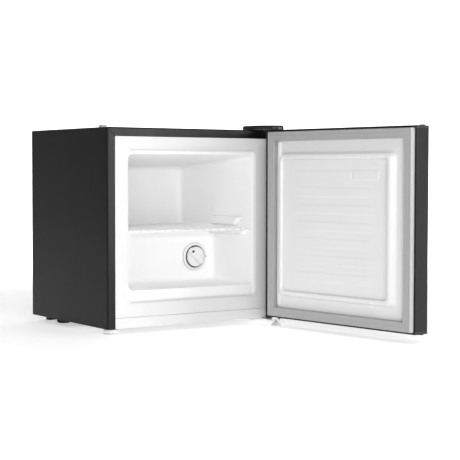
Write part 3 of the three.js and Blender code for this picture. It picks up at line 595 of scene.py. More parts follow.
def cavity_outline(e):
    """(y, z) points from the floor's front, round the step and back, to the ceiling's front."""
    tilt = math.atan(SLOPE)
    points = [(CAVITY_FRONT, FLOOR + e)]
    roof_y = BACK - FILLET
    roof_z = ceiling(roof_y) - FILLET / math.cos(tilt)
    for cy, cz, radius, start, end in (
            (STEP_Y - FILLET, FLOOR + FILLET, FILLET - e, -90, 0),
            (STEP_Y + FILLET, STEP_Z - FILLET, FILLET + e, 180, 90),
            (BACK - FILLET, STEP_Z + FILLET, FILLET - e, -90, 0),
            (roof_y, roof_z, FILLET - e, 0, 90 - math.degrees(tilt))):
        points += [(cy + a, cz + b) for a, b in arc(radius, start, end, TURN)]
    points.append((CAVITY_FRONT, ceiling(CAVITY_FRONT) - e / math.cos(tilt)))
    return points


def shelf_rib(side, outline):
    """A ledge moulded into the side wall, with a soft foot and rounded top."""
    rings = []
    for grow, out in ((3.6, -0.06), (2.9, 0.01), (1.5, 0.05), (0.6, 0.14), (0.15, 0.3), (-0.2, 0.62),
                      (-0.6, 0.82), (-1.4, 0.95), (-2.6, 1.0)):
        ring = softened(shifted(outline, grow), 3.2 + grow * 0.5)
        rings.append([(side * (wall(y) - out * (wall(y) - WALL + 7.0)), y, z) for y, z in ring])
    return lofted(rings, cap_first=False)


def make_liner():
    flange = (-kick_half, kick_half, kick_z[1] + 0.8, TOP - STRIP - 0.3)

    def flange_ring(inset, y):
        a0, a1, b0, b1 = flange
        return [(x, y, z) for x, z in rounded(a0 + inset, a1 - inset, b0 + inset, b1 - inset, 1.5, TURN)]

    def opening_ring(inset, y):
        return [(x, y, z) for x, z in rounded(-OPEN_HALF + inset, OPEN_HALF - inset, OPEN_LOW + inset,
                                              OPEN_HIGH - inset, OPEN_R - inset * 0.6, TURN)]

    def mouth_ring(grow, y):
        return [(x, y, z) for x, z in rounded(-wall(y) - grow, wall(y) + grow, FLOOR - grow,
                                              ceiling(y) + grow, WALL_R + grow, TURN)]

    # (inset, y) from behind the casing's strips over the flange and down the opening's
    # chamfer, then (growth, y) over the cavity's rounded lip.
    rings = [flange_ring(*spot) for spot in (
        (-4, 2.1), (-4, 1.3), (0, 1.2), (0, 0.7), (0.15, 0.35), (0.5, 0.2))]
    rings += [opening_ring(*spot) for spot in (
        (-1.4, 0.2), (-1.0, 0.3), (-0.7, 0.9), (-0.6, 2.6), (-0.1, 2.9), (1.9, 4.6), (3.2, 6.6),
        (3.7, 7.25), (4.1, 7.5))]
    rings += [mouth_ring(*spot) for spot in (
        (2.2, 7.5), (1.3, 7.8), (0.55, 8.5), (0.15, 9.6), (0.0, 11.0))]
    ring_count = len(rings[0])
    points = [p for ring in rings for p in ring]
    faces = bridge(ring_count, len(rings))
    layers = []
    for i in range(TURN + 1):
        angle = math.radians(90 * i / TURN)
        layers.append((-1, WALL_R * (1 - math.cos(angle)), WALL_R * (1 - math.sin(angle))))
    layers += [(1, inward, e) for _, inward, e in reversed(layers)]
    start = len(points)
    outline_count = len(cavity_outline(0))
    for side, inward, e in layers:
        points += [(side * (wall(y) - inward), y, z) for y, z in cavity_outline(e)]
    faces += [tuple(start + i for i in face) for face in bridge(outline_count, len(layers), closed=False)]
    faces.append(tuple(start + i for i in range(outline_count)))
    last = start + (len(layers) - 1) * outline_count
    faces.append(tuple(last + i for i in reversed(range(outline_count))))
    # The mouth's last ring meets the front ends of the layers, corner by corner.
    low = [start + k * outline_count for k in range(len(layers))]
    high = [start + k * outline_count + outline_count - 1 for k in range(len(layers))]
    left, right_side = TURN + 1, len(layers)
    edge = low[left:right_side] + high[left:right_side][::-1] + high[:left][::-1] + low[:left]
    base = (len(rings) - 1) * ring_count
    for i in range(ring_count):
        j = (i + 1) % ring_count
        faces.append((base + i, base + j, edge[j], edge[i]))
    parts = [(points, faces)]
    for side in (-1, 1):
        parts.append(shelf_rib(side, [(69, 248), (171, 248), (171, 266), (50, 266)]))
        parts.append(shelf_rib(side, [(37, 224.4), (179, 224.4), (179, 237), (20, 237)]))
    liner = piece("cabinet_liner", *combine(*parts), LINER_WHITE_PAINTED_LIGHT_INSIDE, "cabinet", "white_liner", sharp=50)
    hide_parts("inner_liner")


make_liner()

# ------------------------------------------------------------------ dial
DIAL_X, DIAL_Z = 117.0, 163.0
RING_BACK = STEP_Y - 0.3


def dial_ring():
    profile = [(3.6, RING_BACK), (34.6, RING_BACK), (35.0, RING_BACK - 0.6), (35.0, RING_BACK - 2.6),
               (34.5, RING_BACK - 3.7), (33.4, RING_BACK - 4.4), (32.0, RING_BACK - 4.6),
               (30.2, RING_BACK - 4.5), (29.2, RING_BACK - 4.1), (28.7, RING_BACK - 3.2),
               (28.6, RING_BACK - 1.4), (28.0, RING_BACK - 1.1), (3.6, RING_BACK - 1.1)]
    rings = []
    for radius, y in profile:
        rings.append([(DIAL_X + radius * math.cos(t), y, DIAL_Z + radius * math.sin(t)) for t in circle(72)])
    points = [p for ring in rings for p in ring]
    return points, bridge(72, len(rings))


escutcheon = piece("dial_ring", *dial_ring(), KNOB_WHITE, "cabinet", "white_plastic", sharp=60)
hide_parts("dial_escutcheon")

piece("dial_tick", *plate(DIAL_X + 29.8, DIAL_X + 33.6, DIAL_Z - 0.8, DIAL_Z + 0.8, 0.7,
                          RING_BACK - 4.95, RING_BACK - 4.0, 0.15, upright),
      COVER_PLASTIC, "cabinet", "black_plastic")
# Painted shade: a thin black disc fills the floor of the gap between the knob and its ring, standing in for
# the shadow in the gap.
piece("dial_gap_shade_disc", *revolved([(0.01, RING_BACK - 1.25), (28.4, RING_BACK - 1.25),
                              (28.4, RING_BACK - 1.12), (0.01, RING_BACK - 1.12)],
                             64, (DIAL_X, 0, DIAL_Z), "y"),
      RUBBER_BLACK, "cabinet", "black_plastic")


def knob():
    back = STEP_Y - 2.0
    wheel = []
    for radius, y in ((3.2, back), (24.5, back), (25.3, back - 0.5), (25.5, back - 1.4),
                      (25.5, back - 4.8), (25.2, back - 5.9), (24.4, back - 6.7), (23.1, back - 7.0),
                      (15.0, back - 7.2), (3.0, back - 7.3)):
        ring = []
        for angle in circle(180):
            groove = 0.35 * max(0.0, math.sin(angle * 45)) if radius > 25.0 else 0.0
            ring.append((DIAL_X + (radius - groove) * math.cos(angle), y,
                         DIAL_Z + (radius - groove) * math.sin(angle)))
        wheel.append(ring)
    turn = math.radians(-45)

    def tilted(a, b, y):
        return (DIAL_X + a * math.cos(turn) + b * math.sin(turn), y,
                DIAL_Z - a * math.sin(turn) + b * math.cos(turn))

    grip = []
    for half_a, low_b, high_b, y, radius in (
            (9.4, -23.4, 28.2, back - 5.4, 7), (8.6, -23.0, 28.0, back - 7.6, 7),
            (7.9, -22.6, 27.8, back - 9.5, 6.5), (7.5, -22.3, 27.6, back - 12.4, 6),
            (7.1, -21.9, 27.2, back - 13.9, 6), (6.2, -21.1, 26.4, back - 14.8, 5.4),
            (4.8, -19.8, 25.1, back - 15.2, 4.4)):
        grip.append([tilted(a, b, y) for a, b in rounded(-half_a, half_a, low_b, high_b, radius, 5)])
    return combine(lofted(wheel), lofted(grip))


dial_knob = piece("dial_knob", *knob(), KNOB_WHITE, "dial", "white_plastic", sharp=40)
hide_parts("thermostat_knob")
piece("dial_dot", *revolved([(0.01, STEP_Y - 16.6), (3.0, STEP_Y - 16.6), (3.4, STEP_Y - 17.2),
                             (3.3, STEP_Y - 17.4), (0.01, STEP_Y - 17.5)], 28,
                            (DIAL_X - 14.0, 0, DIAL_Z + 14.0), "y"), COVER_PLASTIC, "dial", "black_plastic")

# ------------------------------------------------------------------ wire shelf
SHELF_LOW, SHELF_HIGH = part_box("wire_shelf")
BAR_R, WIRE_R = 2.2, 1.5
WIRE_Z = SHELF_HIGH.z * 1000 - WIRE_R
BAR_Z = SHELF_LOW.z * 1000 + BAR_R
BAR_Y = (22, 106, 200, 312)
bars = [pipe([(-WALL + 3.5, y, BAR_Z), (-60, y, BAR_Z), (60, y, BAR_Z), (WALL - 3.5, y, BAR_Z)], BAR_R,
             sides=16, samples=2) for y in BAR_Y]
wires, welds = [], []
for i in range(15):
    x = (i - 7) * 22.05
    wires.append(pipe([(x, 317.5, WIRE_Z), (x, 210, WIRE_Z), (x, 120, WIRE_Z), (x, 40, WIRE_Z),
                       (x, 25.5, WIRE_Z), (x, 21.4, WIRE_Z - 0.5), (x, 19.2, WIRE_Z - 2.4),
                       (x, 18.9, WIRE_Z - 5.4)], WIRE_R, sides=12, samples=4))
    for y in BAR_Y:
        joint = []
        for wide, z in ((2.5, BAR_Z + 1.1), (2.2, BAR_Z + 1.7), (1.8, BAR_Z + 2.4), (1.2, WIRE_Z + 0.2)):
            joint.append([(x + wide * 0.8 * math.cos(t), y + wide * 0.7 * math.sin(t), z)
                          for t in circle(16)])
        welds.append(lofted(joint))
shelf = piece("shelf_rods", *combine(*bars, *wires, *welds), WIRE_WHITE, "shelf", "shelf_wire", sharp=70,
              weighted=False)
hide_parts("wire_shelf")

# ------------------------------------------------------------------ feet
LEFT_FOOT = (-210.5, 34.0, 0.0)
RIGHT_FOOT = (217.5, HINGE_Y, 0.0)


def knurled_foot():
    """A disc with 28 rounded grooves cut in its rim, under a plain stem."""
    teeth = 28
    rings = []
    for radius, z, depth in ((0.5, 0.0, 0), (14.2, 0.0, 0), (15.2, 0.4, 0), (15.5, 1.3, 0), (15.5, 2.5, 0),
                             (16.6, 2.7, 0.5), (17.3, 3.4, 1), (17.4, 4.4, 1), (17.4, 9.2, 1),
                             (17.2, 10.2, 1), (16.4, 10.9, 0.5), (15.0, 11.2, 0), (6.0, 11.3, 0),
                             (4.2, 11.6, 0), (4.0, 12.0, 0), (4.0, 14.9, 0), (0.5, 14.9, 0)):
        ring = []
        for angle in circle(8 * teeth):
            cut = 1.1 * depth * (0.5 - 0.5 * math.cos(angle * teeth)) ** 2
            ring.append((LEFT_FOOT[0] + (radius - cut) * math.cos(angle),
                         LEFT_FOOT[1] + (radius - cut) * math.sin(angle), z))
        rings.append(ring)
    return lofted(rings)


left_foot = piece("left_levelling_foot", *knurled_foot(), PLASTIC_WHITE, "left_foot", "white_plastic",
                  sharp=50)
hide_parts("front_left_foot")

cone_profile = [(0.5, 0.0), (11.4, 0.0), (12.2, 0.3), (12.6, 1.1), (12.5, 1.8), (11.9, 3.0), (10.6, 4.3),
                (8.6, 5.6), (6.6, 6.8), (5.0, 7.9), (4.5, 8.6)]
for i in range(9):
    crest = 8.9 + i * 0.62
    cone_profile += [(4.0, crest), (3.3, crest + 0.31)]
cone_profile.append((0.5, BASE - 0.5))
right_foot = piece("right_levelling_foot", *revolved(cone_profile, 48, RIGHT_FOOT), PLASTIC_WHITE,
                   "right_foot", "white_plastic", sharp=50)
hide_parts("front_right_foot")

for side, node in ((-1, "rear_left_foot"), (1, "rear_right_foot")):
    dome = [(0.5, 0.0), (9.0, 0.0), (12.5, 0.5), (15.4, 1.8), (17.2, 3.9), (18.0, 6.6), (18.0, 10.4),
            (17.4, 12.2), (15.8, 13.8), (13.8, 14.9), (0.5, 14.95)]
    foot = piece(node + "_dome", *revolved(dome, 48, (side * 198.5, 295.0, 0.0)), RUBBER_BLACK, "cabinet",
                 "black_rubber", sharp=60)
    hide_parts(node)

# ------------------------------------------------------------------ small pieces on top
cap = piece("spare_hinge_cap", *revolved(
    [(0.3, TOP + 0.3), (8.7, TOP + 0.3), (9.0, TOP + 0.7), (9.0, TOP + 3.9), (8.6, TOP + 5.0),
     (7.6, TOP + 5.9), (5.6, TOP + 6.4), (0.3, TOP + 6.6)], 40, (-HALF + 17.5, 52.0, 0.0)), CAP_GREY,
    "cabinet", "cap_grey", sharp=60)
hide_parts("spare_hole_cover")

COVER_LOW, COVER_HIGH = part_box("upper_hinge_cover")
cover_top = COVER_HIGH.z * 1000
cover_low = COVER_LOW.z * 1000
COVER = [(171, 46), (171, -6), (HINGE_X - 22, HINGE_Y - 10), (HALF - 1, HINGE_Y - 10), (HALF - 1, 46)]


def hinge_cover():
    rings = []
    for inset, z in ((5.0, cover_top - 1.6), (3.6, cover_top - 1.9), (2.2, cover_top - 3.2),
                     (1.7, cover_top - 4.8), (1.6, cover_low + 0.3), (1.2, cover_low), (0.4, cover_low),
                     (0.0, cover_low + 0.4), (0.0, cover_top - 5.0), (0.35, cover_top - 3.2),
                     (1.2, cover_top - 1.6), (2.6, cover_top - 0.5), (4.4, cover_top - 0.05),
                     (6.0, cover_top)):
        outline = softened(shifted(COVER, -inset), 12 - inset, 6)
        rings.append([(x, y, z) for x, y in outline])
    return lofted(rings)


cover = piece("hinge_cover", *hinge_cover(), COVER_PLASTIC, "cabinet", "black_plastic", sharp=50)
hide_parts("upper_hinge_cover")

# ------------------------------------------------------------------ door
DOOR_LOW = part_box("door_bottom_cap")[0].z * 1000
DOOR_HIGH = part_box("door_top_cap")[1].z * 1000
DOOR_MIDDLE = (DOOR_LOW + DOOR_HIGH) / 2
INNER, OUTER, RIM, CAP = -14.0, -56.0, 5.4, 5.7


def door_skin():
    def path(inset):
        points = [(-HALF + RIM, INNER - inset), (-HALF + RIM - 0.5, INNER - inset)]
        for corner_x, corner_y, radius, start in ((-HALF, INNER, 1.7, 90), (-HALF, OUTER, 3.4, 180),
                                                  (HALF, OUTER, 3.4, 270), (HALF, INNER, 1.7, 0)):
            cx = corner_x + (radius if corner_x < 0 else -radius)
            cy = corner_y + (radius if corner_y < -30 else -radius)
            points += [(cx + a, cy + b) for a, b in arc(radius - inset, start, start + 90, 6)]
        points += [(HALF - RIM + 0.5, INNER - inset), (HALF - RIM, INNER - inset)]
        return points

    section = path(0) + path(SHEET)[::-1]
    low, high = DOOR_LOW + CAP, DOOR_HIGH - CAP
    return lofted([[(x, y, z) for x, y in section] for z in (low, low + 20, DOOR_MIDDLE, high - 20, high)])


skin = piece("door_sheet", *door_skin(), DOOR_STEEL_PAINTED_LIGHT, "door", "casing", place=door_at, sharp=40)
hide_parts("door_skin")


def rounded_distance(x, z, rect, radius):
    """Signed distance to a rounded rectangle, negative inside."""
    x0, x1, z0, z1 = rect
    dx = abs(x - (x0 + x1) / 2) - (x1 - x0) / 2 + radius
    dz = abs(z - (z0 + z1) / 2) - (z1 - z0) / 2 + radius
    outside = math.hypot(max(dx, 0), max(dz, 0))
    return outside + min(max(dx, dz), 0) - radius


def ramp(x, z, outer, inner, r_outer, r_inner):
    """0 outside the outer rectangle, 1 inside the inner one, and a soft slope between."""
    deep = -rounded_distance(x, z, outer, r_outer)
    short = rounded_distance(x, z, inner, r_inner)
    if deep <= 0:
        return 0.0
    if short <= 0:
        return 1.0
    t = deep / (deep + short)
    ease = 0.28
    scale = 1 / (1 - ease)
    if t < ease:
        return scale * t * t / (2 * ease)
    if t > 1 - ease:
        return 1 - scale * (1 - t) ** 2 / (2 * ease)
    return scale * (t - ease / 2)


def swell(distance, width):
    t = min(1.0, max(0.0, 0.5 - distance / width))
    return t * t * (3 - 2 * t)


RIB_Z = [(3 - i) * 40.3 for i in range(7)]


# heights and depths of the panel's forms
RIDGE, INNER_STEP, MIDDLE_SINK, GROOVE, HINGE_STRIP, RIB_RISE, PLAQUE = 12.0, 3.9, 2.3, 2.0, 4.0, 0.8, 1.2


def relief(x, z):
    """Height of the panel: a ridge round a sunk middle with a groove, ribs, and a strip by the hinge."""
    z -= DOOR_MIDDLE
    height = RIDGE * ramp(x, z, (-183, 195.5, -177, 176), (-168, 190, -170, 169), 14, 11)
    height -= INNER_STEP * ramp(x, z, (-162, 184.8, -162.2, 161.2), (-158.6, 182.3, -160, 159), 10, 9)
    height -= MIDDLE_SINK * ramp(x, z, (-160.5, 184.5, -162, 161), (-146, 177.5, -156, 155), 10, 11)
    groove = abs(rounded_distance(x, z, (-159.2, 182.8, -160.4, 159.4), 9))
    height -= GROOVE * max(0.0, 1 - groove / 2.4)
    strip = ramp(x, z, (194, 209.8, -203.9, 203.9), (199.5, 205.0, -198.5, 198.5), 2, 2)
    height = max(height, HINGE_STRIP * strip)
    if height <= 0.5:
        return height
    for i, rib_z in enumerate(RIB_Z):
        if abs(z - rib_z) >= 16:
            continue
        # the top rib starts beyond the plaque at its free end
        start, run = (-46, 4) if i == 0 else (-121, 30)
        fade = min(1.0, max(0.0, (x - start) / run)) * min(1.0, max(0.0, (146 - x) / 30))
        height += RIB_RISE * fade * swell(abs(z - rib_z) - 10.25, 4.5)
        if i == 0:
            height += PLAQUE * swell(rounded_distance(x, z, (-131, -54, rib_z - 11, rib_z + 11), 3), 1.8)
    return height


def spread(low, high, marks, fine, coarse):
    """Grid lines from low to high: fine between the first and last mark, coarse outside."""
    lines = [low]
    value = low
    while value < high - 0.01:
        value = min(high, value + (fine if marks[0] <= value < marks[1] else coarse))
        lines.append(value)
    return lines


def door_panel():
    """The moulded inner panel as a height grid, closed by a skirt and a flat back."""
    edge = HALF - RIM - 0.3
    xs = spread(-edge, edge, (-184, 210), 1.35, 6)
    ridge = (DOOR_MIDDLE - 181, DOOR_MIDDLE + 180)
    zs = spread(DOOR_LOW + CAP + 0.3, DOOR_HIGH - CAP - 0.3, ridge, 1.35, 6)
    points = [(x, INNER + relief(x, z), z) for z in zs for x in xs]
    n = len(xs)
    faces = [(r * n + i, r * n + i + 1, (r + 1) * n + i + 1, (r + 1) * n + i)
             for r in range(len(zs) - 1) for i in range(n - 1)]
    border = list(range(n))
    border += [r * n + n - 1 for r in range(1, len(zs))]
    border += [(len(zs) - 1) * n + i for i in reversed(range(n - 1))]
    border += [r * n for r in reversed(range(1, len(zs) - 1))]
    start = len(points)
    points += [(points[i][0], INNER - 1.6, points[i][2]) for i in border]
    m = len(border)
    faces += [(border[i], start + i, start + (i + 1) % m, border[(i + 1) % m]) for i in range(m)]
    faces.append(tuple(start + i for i in range(m)))
    return points, faces


panel = piece("door_inner_panel", *door_panel(), DOOR_WHITE, "door", "white_liner", place=door_at, sharp=60,
              weighted=False)
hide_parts("door_liner")


core_half = HALF - 1.8
core = piece("door_foam_core", *plate(
    -core_half, core_half, DOOR_LOW + CAP + 0.4, DOOR_HIGH - CAP - 0.4, 3.0,
    -51.4, INNER - 1.9, 1.0, upright), FOAM, "door", "foam", place=door_at)
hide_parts("door_insulation")


def gasket():
    x_out, z_low, z_high = HALF - RIM, DOOR_LOW + RIM, DOOR_HIGH - RIM
    profile = [(1.0, 0.3), (0.2, 0.5), (0.0, 1.2), (0.2, 2.2), (0.05, 3.0), (0.5, 3.6), (0.8, 4.2),
               (0.5, 4.8), (0.05, 5.4), (0.0, 6.4), (0.0, 8.0), (0.05, 10.8), (0.4, 12.1), (1.2, 12.8),
               (2.3, 13.0), (3.4, 12.7), (4.6, 12.2), (9.4, 12.3), (10.6, 12.95), (11.8, 12.3), (17.4, 12.2),
               (18.8, 12.7),
               (20.2, 12.95), (21.3, 12.6), (21.9, 11.6), (22.0, 10.0), (21.8, 7.4), (20.9, 6.4),
               (19.2, 5.8), (18.8, 4.9), (19.3, 3.9), (21.2, 3.0), (21.9, 2.0), (21.8, 0.9), (21.0, 0.3)]
    rings = []
    for inset, height in profile:
        half, low, high = x_out - inset, z_low + inset, z_high - inset
        ring = []
        for sx, corner_z, dz in ((1, low, 1), (1, high, -1), (-1, high, -1), (-1, low, 1)):
            marks = [(sx * half, corner_z + dz * 0.9, 0.0), (sx * half, corner_z, 0.6 if height > 6 else 0),
                     (sx * (half - 0.9), corner_z, 0.0)]
            if (sx, dz) in ((1, 1), (-1, -1)):
                marks.reverse()
            ring += [(a, INNER + height - sunk, b) for a, b, sunk in marks]
        rings.append(ring)
    points = [p for ring in rings for p in ring]
    count = len(rings[0])
    faces = bridge(count, len(rings))
    last = (len(rings) - 1) * count
    faces += [(last + i, last + (i + 1) % count, (i + 1) % count, i) for i in range(count)]
    return points, faces


seal = piece("door_seal", *gasket(), GASKET_GREY, "door", "gasket", place=door_at, sharp=42)
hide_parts("door_gasket")

for node, z, way in (("spare_hole_plug", DOOR_HIGH, 1), ("lower_hole_plug", DOOR_LOW, -1)):
    plug_profile = [(0.3, z - way * 8.5), (4.2, z - way * 8.5), (4.6, z - way * 8.0), (4.6, z + way * 0.3),
                    (6.1, z + way * 0.3), (6.2, z + way * 0.8), (6.1, z + way * 1.5), (5.6, z + way * 2.1),
                    (4.6, z + way * 2.45), (0.3, z + way * 2.6)]
    plug = piece(node + "_cap", *revolved(plug_profile, 36, (-HINGE_X, HINGE_Y, 0)), COVER_PLASTIC, "door",
                 "black_plastic", place=door_at, sharp=60)
    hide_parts(node)

# ------------------------------------------------------------------ behind: compressor and pipes
COMP_X, COMP_Y, COMP_R, COMP_TOP = 45.0, 298.0, 58.0, 160.0
PLATE_TOP = BASE + 1.8


def compressor_shell():
    low = PLATE_TOP + 13
    middle = (low + COMP_TOP) / 2
    profile = [(0.5, low)]
    for i in range(13):
        angle = math.radians(90 * i / 12)
        profile.append((COMP_R * (0.55 + 0.45 * math.sin(angle)), low + 22 - 22 * math.cos(angle) ** 2))
    profile += [(COMP_R, middle - 4.2), (COMP_R + 0.6, middle - 3.2), (COMP_R + 2.4, middle - 2.8),
                (COMP_R + 2.6, middle - 2.0), (COMP_R + 2.6, middle + 1.6), (COMP_R + 1.8, middle + 2.6),
                (COMP_R + 0.4, middle + 3.4), (COMP_R, middle + 4.6)]
    for i in range(15):
        angle = math.radians(90 * i / 14)
        profile.append((max(0.5, COMP_R * math.cos(angle)), COMP_TOP - 40 + 40 * math.sin(angle)))
    shell = revolved(profile, 72, (COMP_X, COMP_Y, 0))
    base = plate(COMP_X - 66, COMP_X + 66, COMP_Y - 62, COMP_Y + 62, 14, low - 3, low + 1, 1.2)
    return combine(shell, base)


motor = piece("compressor_shell", *compressor_shell(), ENAMEL, "cabinet", "compressor_paint", sharp=50)
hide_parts("compressor")
for i, (sx, sy) in enumerate(((-1, -1), (-1, 1), (1, -1), (1, 1)), 1):
    low = PLATE_TOP
    shape = [(0.5, low), (8.4, low), (9.0, low + 0.8), (9.1, low + 2.4), (8.6, low + 3.6), (9.1, low + 4.8),
             (8.6, low + 6.2), (9.0, low + 7.4), (8.8, low + 9.0), (5.2, low + 9.7), (5.2, low + 14.4),
             (8.2, low + 14.6), (8.6, low + 15.4), (8.4, low + 16.9), (7.2, low + 17.8), (0.5, low + 18)]
    grommet = piece(f"rubber_mount_{i}", *revolved(shape, 36, (COMP_X + sx * 52, COMP_Y + sy * 52, 0)),
                    RUBBER_BLACK, "cabinet", "black_rubber", sharp=60)
    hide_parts(f"compressor_grommet_{i}")

relay_x = COMP_X + COMP_R + 3
relay = piece("relay_box", *combine(
    plate(relay_x, relay_x + 30, COMP_Y - 26, COMP_Y + 26, 6, 62, 112, 2.2),
    plate(relay_x - 0.8, relay_x + 30.8, COMP_Y - 26.8, COMP_Y + 26.8, 6, 98, 101, 0.7)),
    BLACK_PLASTIC, "cabinet", "black_plastic")
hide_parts("compressor_relay_cover")

drier_profile = [(0.4, 62), (2.4, 62), (2.7, 64), (3.2, 66), (6.4, 68.4), (8.5, 71), (9.0, 74), (9.0, 124),
                 (8.5, 127), (6.4, 129.6), (3.2, 132), (2.7, 134), (2.4, 136), (0.4, 136)]
drier = piece("drier", *revolved(drier_profile, 36, (-70, 330, 0)), COPPER, "cabinet", "copper", sharp=60)
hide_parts("filter_drier")


def stub(degrees, z, reach):
    angle = math.radians(degrees)
    return (COMP_X + (COMP_R + reach) * math.cos(angle), COMP_Y + (COMP_R + reach) * math.sin(angle), z)


capillary = [(-70, 330, 61.4), (-70, 330, 50), (-82, 322, 40)]
for i in range(21):
    angle = math.pi * (0.25 + i / 5)
    capillary.append((-104 + 22 * math.cos(angle), 300 + 22 * math.sin(angle), 40 + i * 1.6))
capillary += [(-104, 262, 90), (-104, 240, 130), (-104, 232, 198)]
for node, route, radius in (
        ("discharge_pipe", [stub(140, 108, -1.5), stub(140, 108, 8), stub(142, 110, 18), stub(145, 124, 27),
                            (-55, 352, 155), (-95, 352, 168), (-150, 352, 172), (-205, 352, 172),
                            (-225, 348, 180), (-228, 345, 196)], 2.6),
        ("suction_pipe", [stub(220, 108, -1.5), stub(220, 108, 9), stub(221, 112, 20), stub(222, 128, 28),
                          stub(222, 150, 30), stub(222, 175, 30), stub(222, 198, 30)], 3.5),
        ("process_pipe", [stub(75, 108, -1.5), stub(75, 108, 8), stub(75, 111, 14), stub(75, 122, 17),
                          stub(75, 138, 17)], 3.0),
        ("capillary_tube", capillary, 1.2)):
    line = piece(node + "_line", *pipe(route, radius, sides=14, samples=6), COPPER, "cabinet", "copper",
                 sharp=60, weighted=False)
    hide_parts(node)

gland_y = DEPTH - 3
gland_profile = [(3.4, gland_y - 5), (3.4, gland_y + 2.5), (3.8, gland_y + 2.9), (7.4, gland_y + 2.9),
                 (8.0, gland_y + 2.5), (8.0, gland_y + 1.9), (5.0, gland_y + 1.8), (5.0, gland_y - 9),
                 (0.4, gland_y - 9), (0.4, gland_y - 5)]
gland = piece("cord_grommet", *revolved(gland_profile, 36, (150, 0, BASE + 26), "y"), RUBBER_BLACK, "cabinet",
              "black_plastic", sharp=60)
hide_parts("cord_gland")

# ------------------------------------------------------------------ CAD pieces that stay
KEPT = {
    "back_panel": (GALVANISED, 0.4), "machine_room_wall": (GALVANISED, 0.3), "base_pan": (GALVANISED, 0.3),
    "cabinet_insulation": (FOAM, 0.0), "compressor_plate": (ENAMEL, 0.35), "condenser_coil": (ALUMINIUM, 0.0),
    "evaporator_coil": (ALUMINIUM, 0.0), "cord_bracket": (ZINC, 0.25), "thermostat_body": (PLASTIC_WHITE, 0.6),
    "upper_hinge_plate": (ZINC, 0.4), "upper_hinge_pin": (ZINC, 0.3), "lower_hinge_bracket": (ZINC, 0.4),
    "lower_hinge_pin": (ZINC, 0.3), "door_top_cap": (BLACK_PLASTIC, 1.1),
    "door_bottom_cap": (BLACK_PLASTIC, 1.1),
    "upper_bushing": (PLASTIC_WHITE, 0.3), "lower_bushing": (PLASTIC_WHITE, 0.3),
}
for index in (1, 2, 3):
    KEPT[f"upper_hinge_screw_{index}"] = (ZINC, 0.25)
    KEPT[f"lower_hinge_screw_{index}"] = (ZINC, 0.25)
for node, (material, width) in KEPT.items():
    obj = NODES[node]
    obj.data.materials.clear()
    obj.data.materials.append(material)
    if width:
        bevel = obj.modifiers.new("soft_edges", "BEVEL")
        bevel.width = width / 1000
        bevel.segments = 3
        bevel.limit_method = "ANGLE"
        bevel.angle_limit = math.radians(38)

# ------------------------------------------------------------------ floor, backdrop and light
def studio_material():
    """White floor that glows in a band along the photo's line of sight and fades out to each side."""
    n = Nodes("studio_white")
    n.colour(n.mixed(n.ranged(n.noise(0.8), 0.3, 0.7), (0.90, 0.90, 0.90), (0.93, 0.93, 0.93)))
    n.rough(n.ranged(n.noise(3), 0.3, 0.7, 0.7, 0.8))
    n.shader.inputs["Emission Color"].default_value = (1, 1, 1, 1)
    across = n.add("ShaderNodeVectorMath", operation="DOT_PRODUCT")
    across.inputs[1].default_value = (math.cos(YAW), -math.sin(YAW), 0)
    n.link(n.place, across.inputs[0])
    glow = n.ranged(n.maths("ABSOLUTE", across.outputs["Value"]), 2.0, 3.8, 0.5, 0.03)
    n.link(glow, n.shader.inputs["Emission Strength"])
    return n.set(Specular_IOR_Level=0.1)


STUDIO = studio_material()


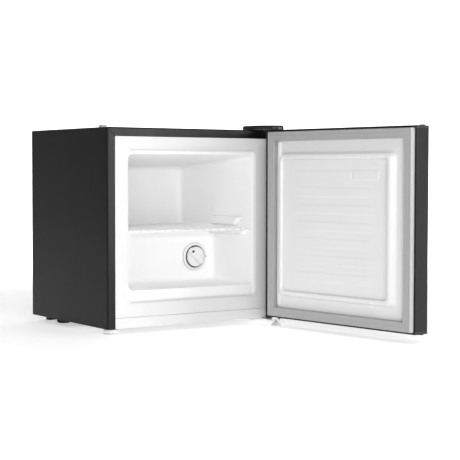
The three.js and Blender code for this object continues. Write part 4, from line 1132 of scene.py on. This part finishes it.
def sweep_mesh():
    """Floor that curves up into a backdrop behind the object, square to the photo's line of sight."""
    points, faces = [], []
    profile = [(-9.0, 0.0), (3.0, 0.0), (4.2, 0.12), (5.2, 0.5), (6.0, 1.2), (6.5, 2.2), (6.7, 3.4),
               (6.7, 9.0)]
    for v, z in profile:
        for u in (-14.0, -5.0, 0.0, 5.0, 14.0):
            points.append((u * math.cos(YAW) + v * math.sin(YAW), -u * math.sin(YAW) + v * math.cos(YAW), z))
    for r in range(len(profile) - 1):
        for i in range(4):
            faces.append((r * 5 + i, r * 5 + i + 1, r * 5 + i + 6, r * 5 + i + 5))
    mesh = bpy.data.meshes.new("studio_floor")
    mesh.from_pydata(points, [], faces)
    mesh.polygons.foreach_set("use_smooth", [True] * len(mesh.polygons))
    mesh.materials.append(STUDIO)
    obj = bpy.data.objects.new("studio_floor", mesh)
    bpy.context.scene.collection.objects.link(obj)


sweep_mesh()


def soft_light(name, place, target, size, power):
    data = bpy.data.lights.new(name, "AREA")
    data.shape = "RECTANGLE"
    data.size, data.size_y = size
    data.energy = power
    obj = bpy.data.objects.new(name, data)
    bpy.context.scene.collection.objects.link(obj)
    obj.location = place
    direction = Vector(target) - Vector(place)
    obj.rotation_euler = direction.to_track_quat("-Z", "Y").to_euler()


soft_light("key_light", (-2.5, -5.1, 0.95), (0, 0, 0.24), (0.25, 0.25), 54)
soft_light("fill_light", (-3.7, -4.3, 0.7), (0, 0, 0.24), (2.4, 1.4), 44)
soft_light("right_light", (2.5, -3.9, 0.62), (0, 0, 0.2), (1.5, 1.2), 98)
soft_light("top_light", (-0.5, -2.6, 2.3), (0, 0.1, 0.15), (1.2, 0.8), 26)
soft_light("backdrop_light", (0.9, 1.5, 2.6), (4.0, 6.0, 1.2), (3.0, 2.0), 200)

world = bpy.data.worlds.new("studio_world")
bpy.context.scene.world = world
world.use_nodes = True
sky = world.node_tree
sky_place = sky.nodes.new("ShaderNodeTexCoord")
sky_split = sky.nodes.new("ShaderNodeSeparateXYZ")
sky_shade = sky.nodes.new("ShaderNodeMapRange")
for setting, value in (("From Min", 0.05), ("From Max", 0.7), ("To Min", 0.33), ("To Max", 0.22)):
    sky_shade.inputs[setting].default_value = value
sky.links.new(sky_place.outputs["Generated"], sky_split.inputs["Vector"])
sky.links.new(sky_split.outputs["Z"], sky_shade.inputs["Value"])
sky.links.new(sky_shade.outputs["Result"], sky.nodes["Background"].inputs["Strength"])
sky.nodes["Background"].inputs["Color"].default_value = (1, 1, 1, 1)
bpy.context.scene.view_settings.view_transform = "Standard"
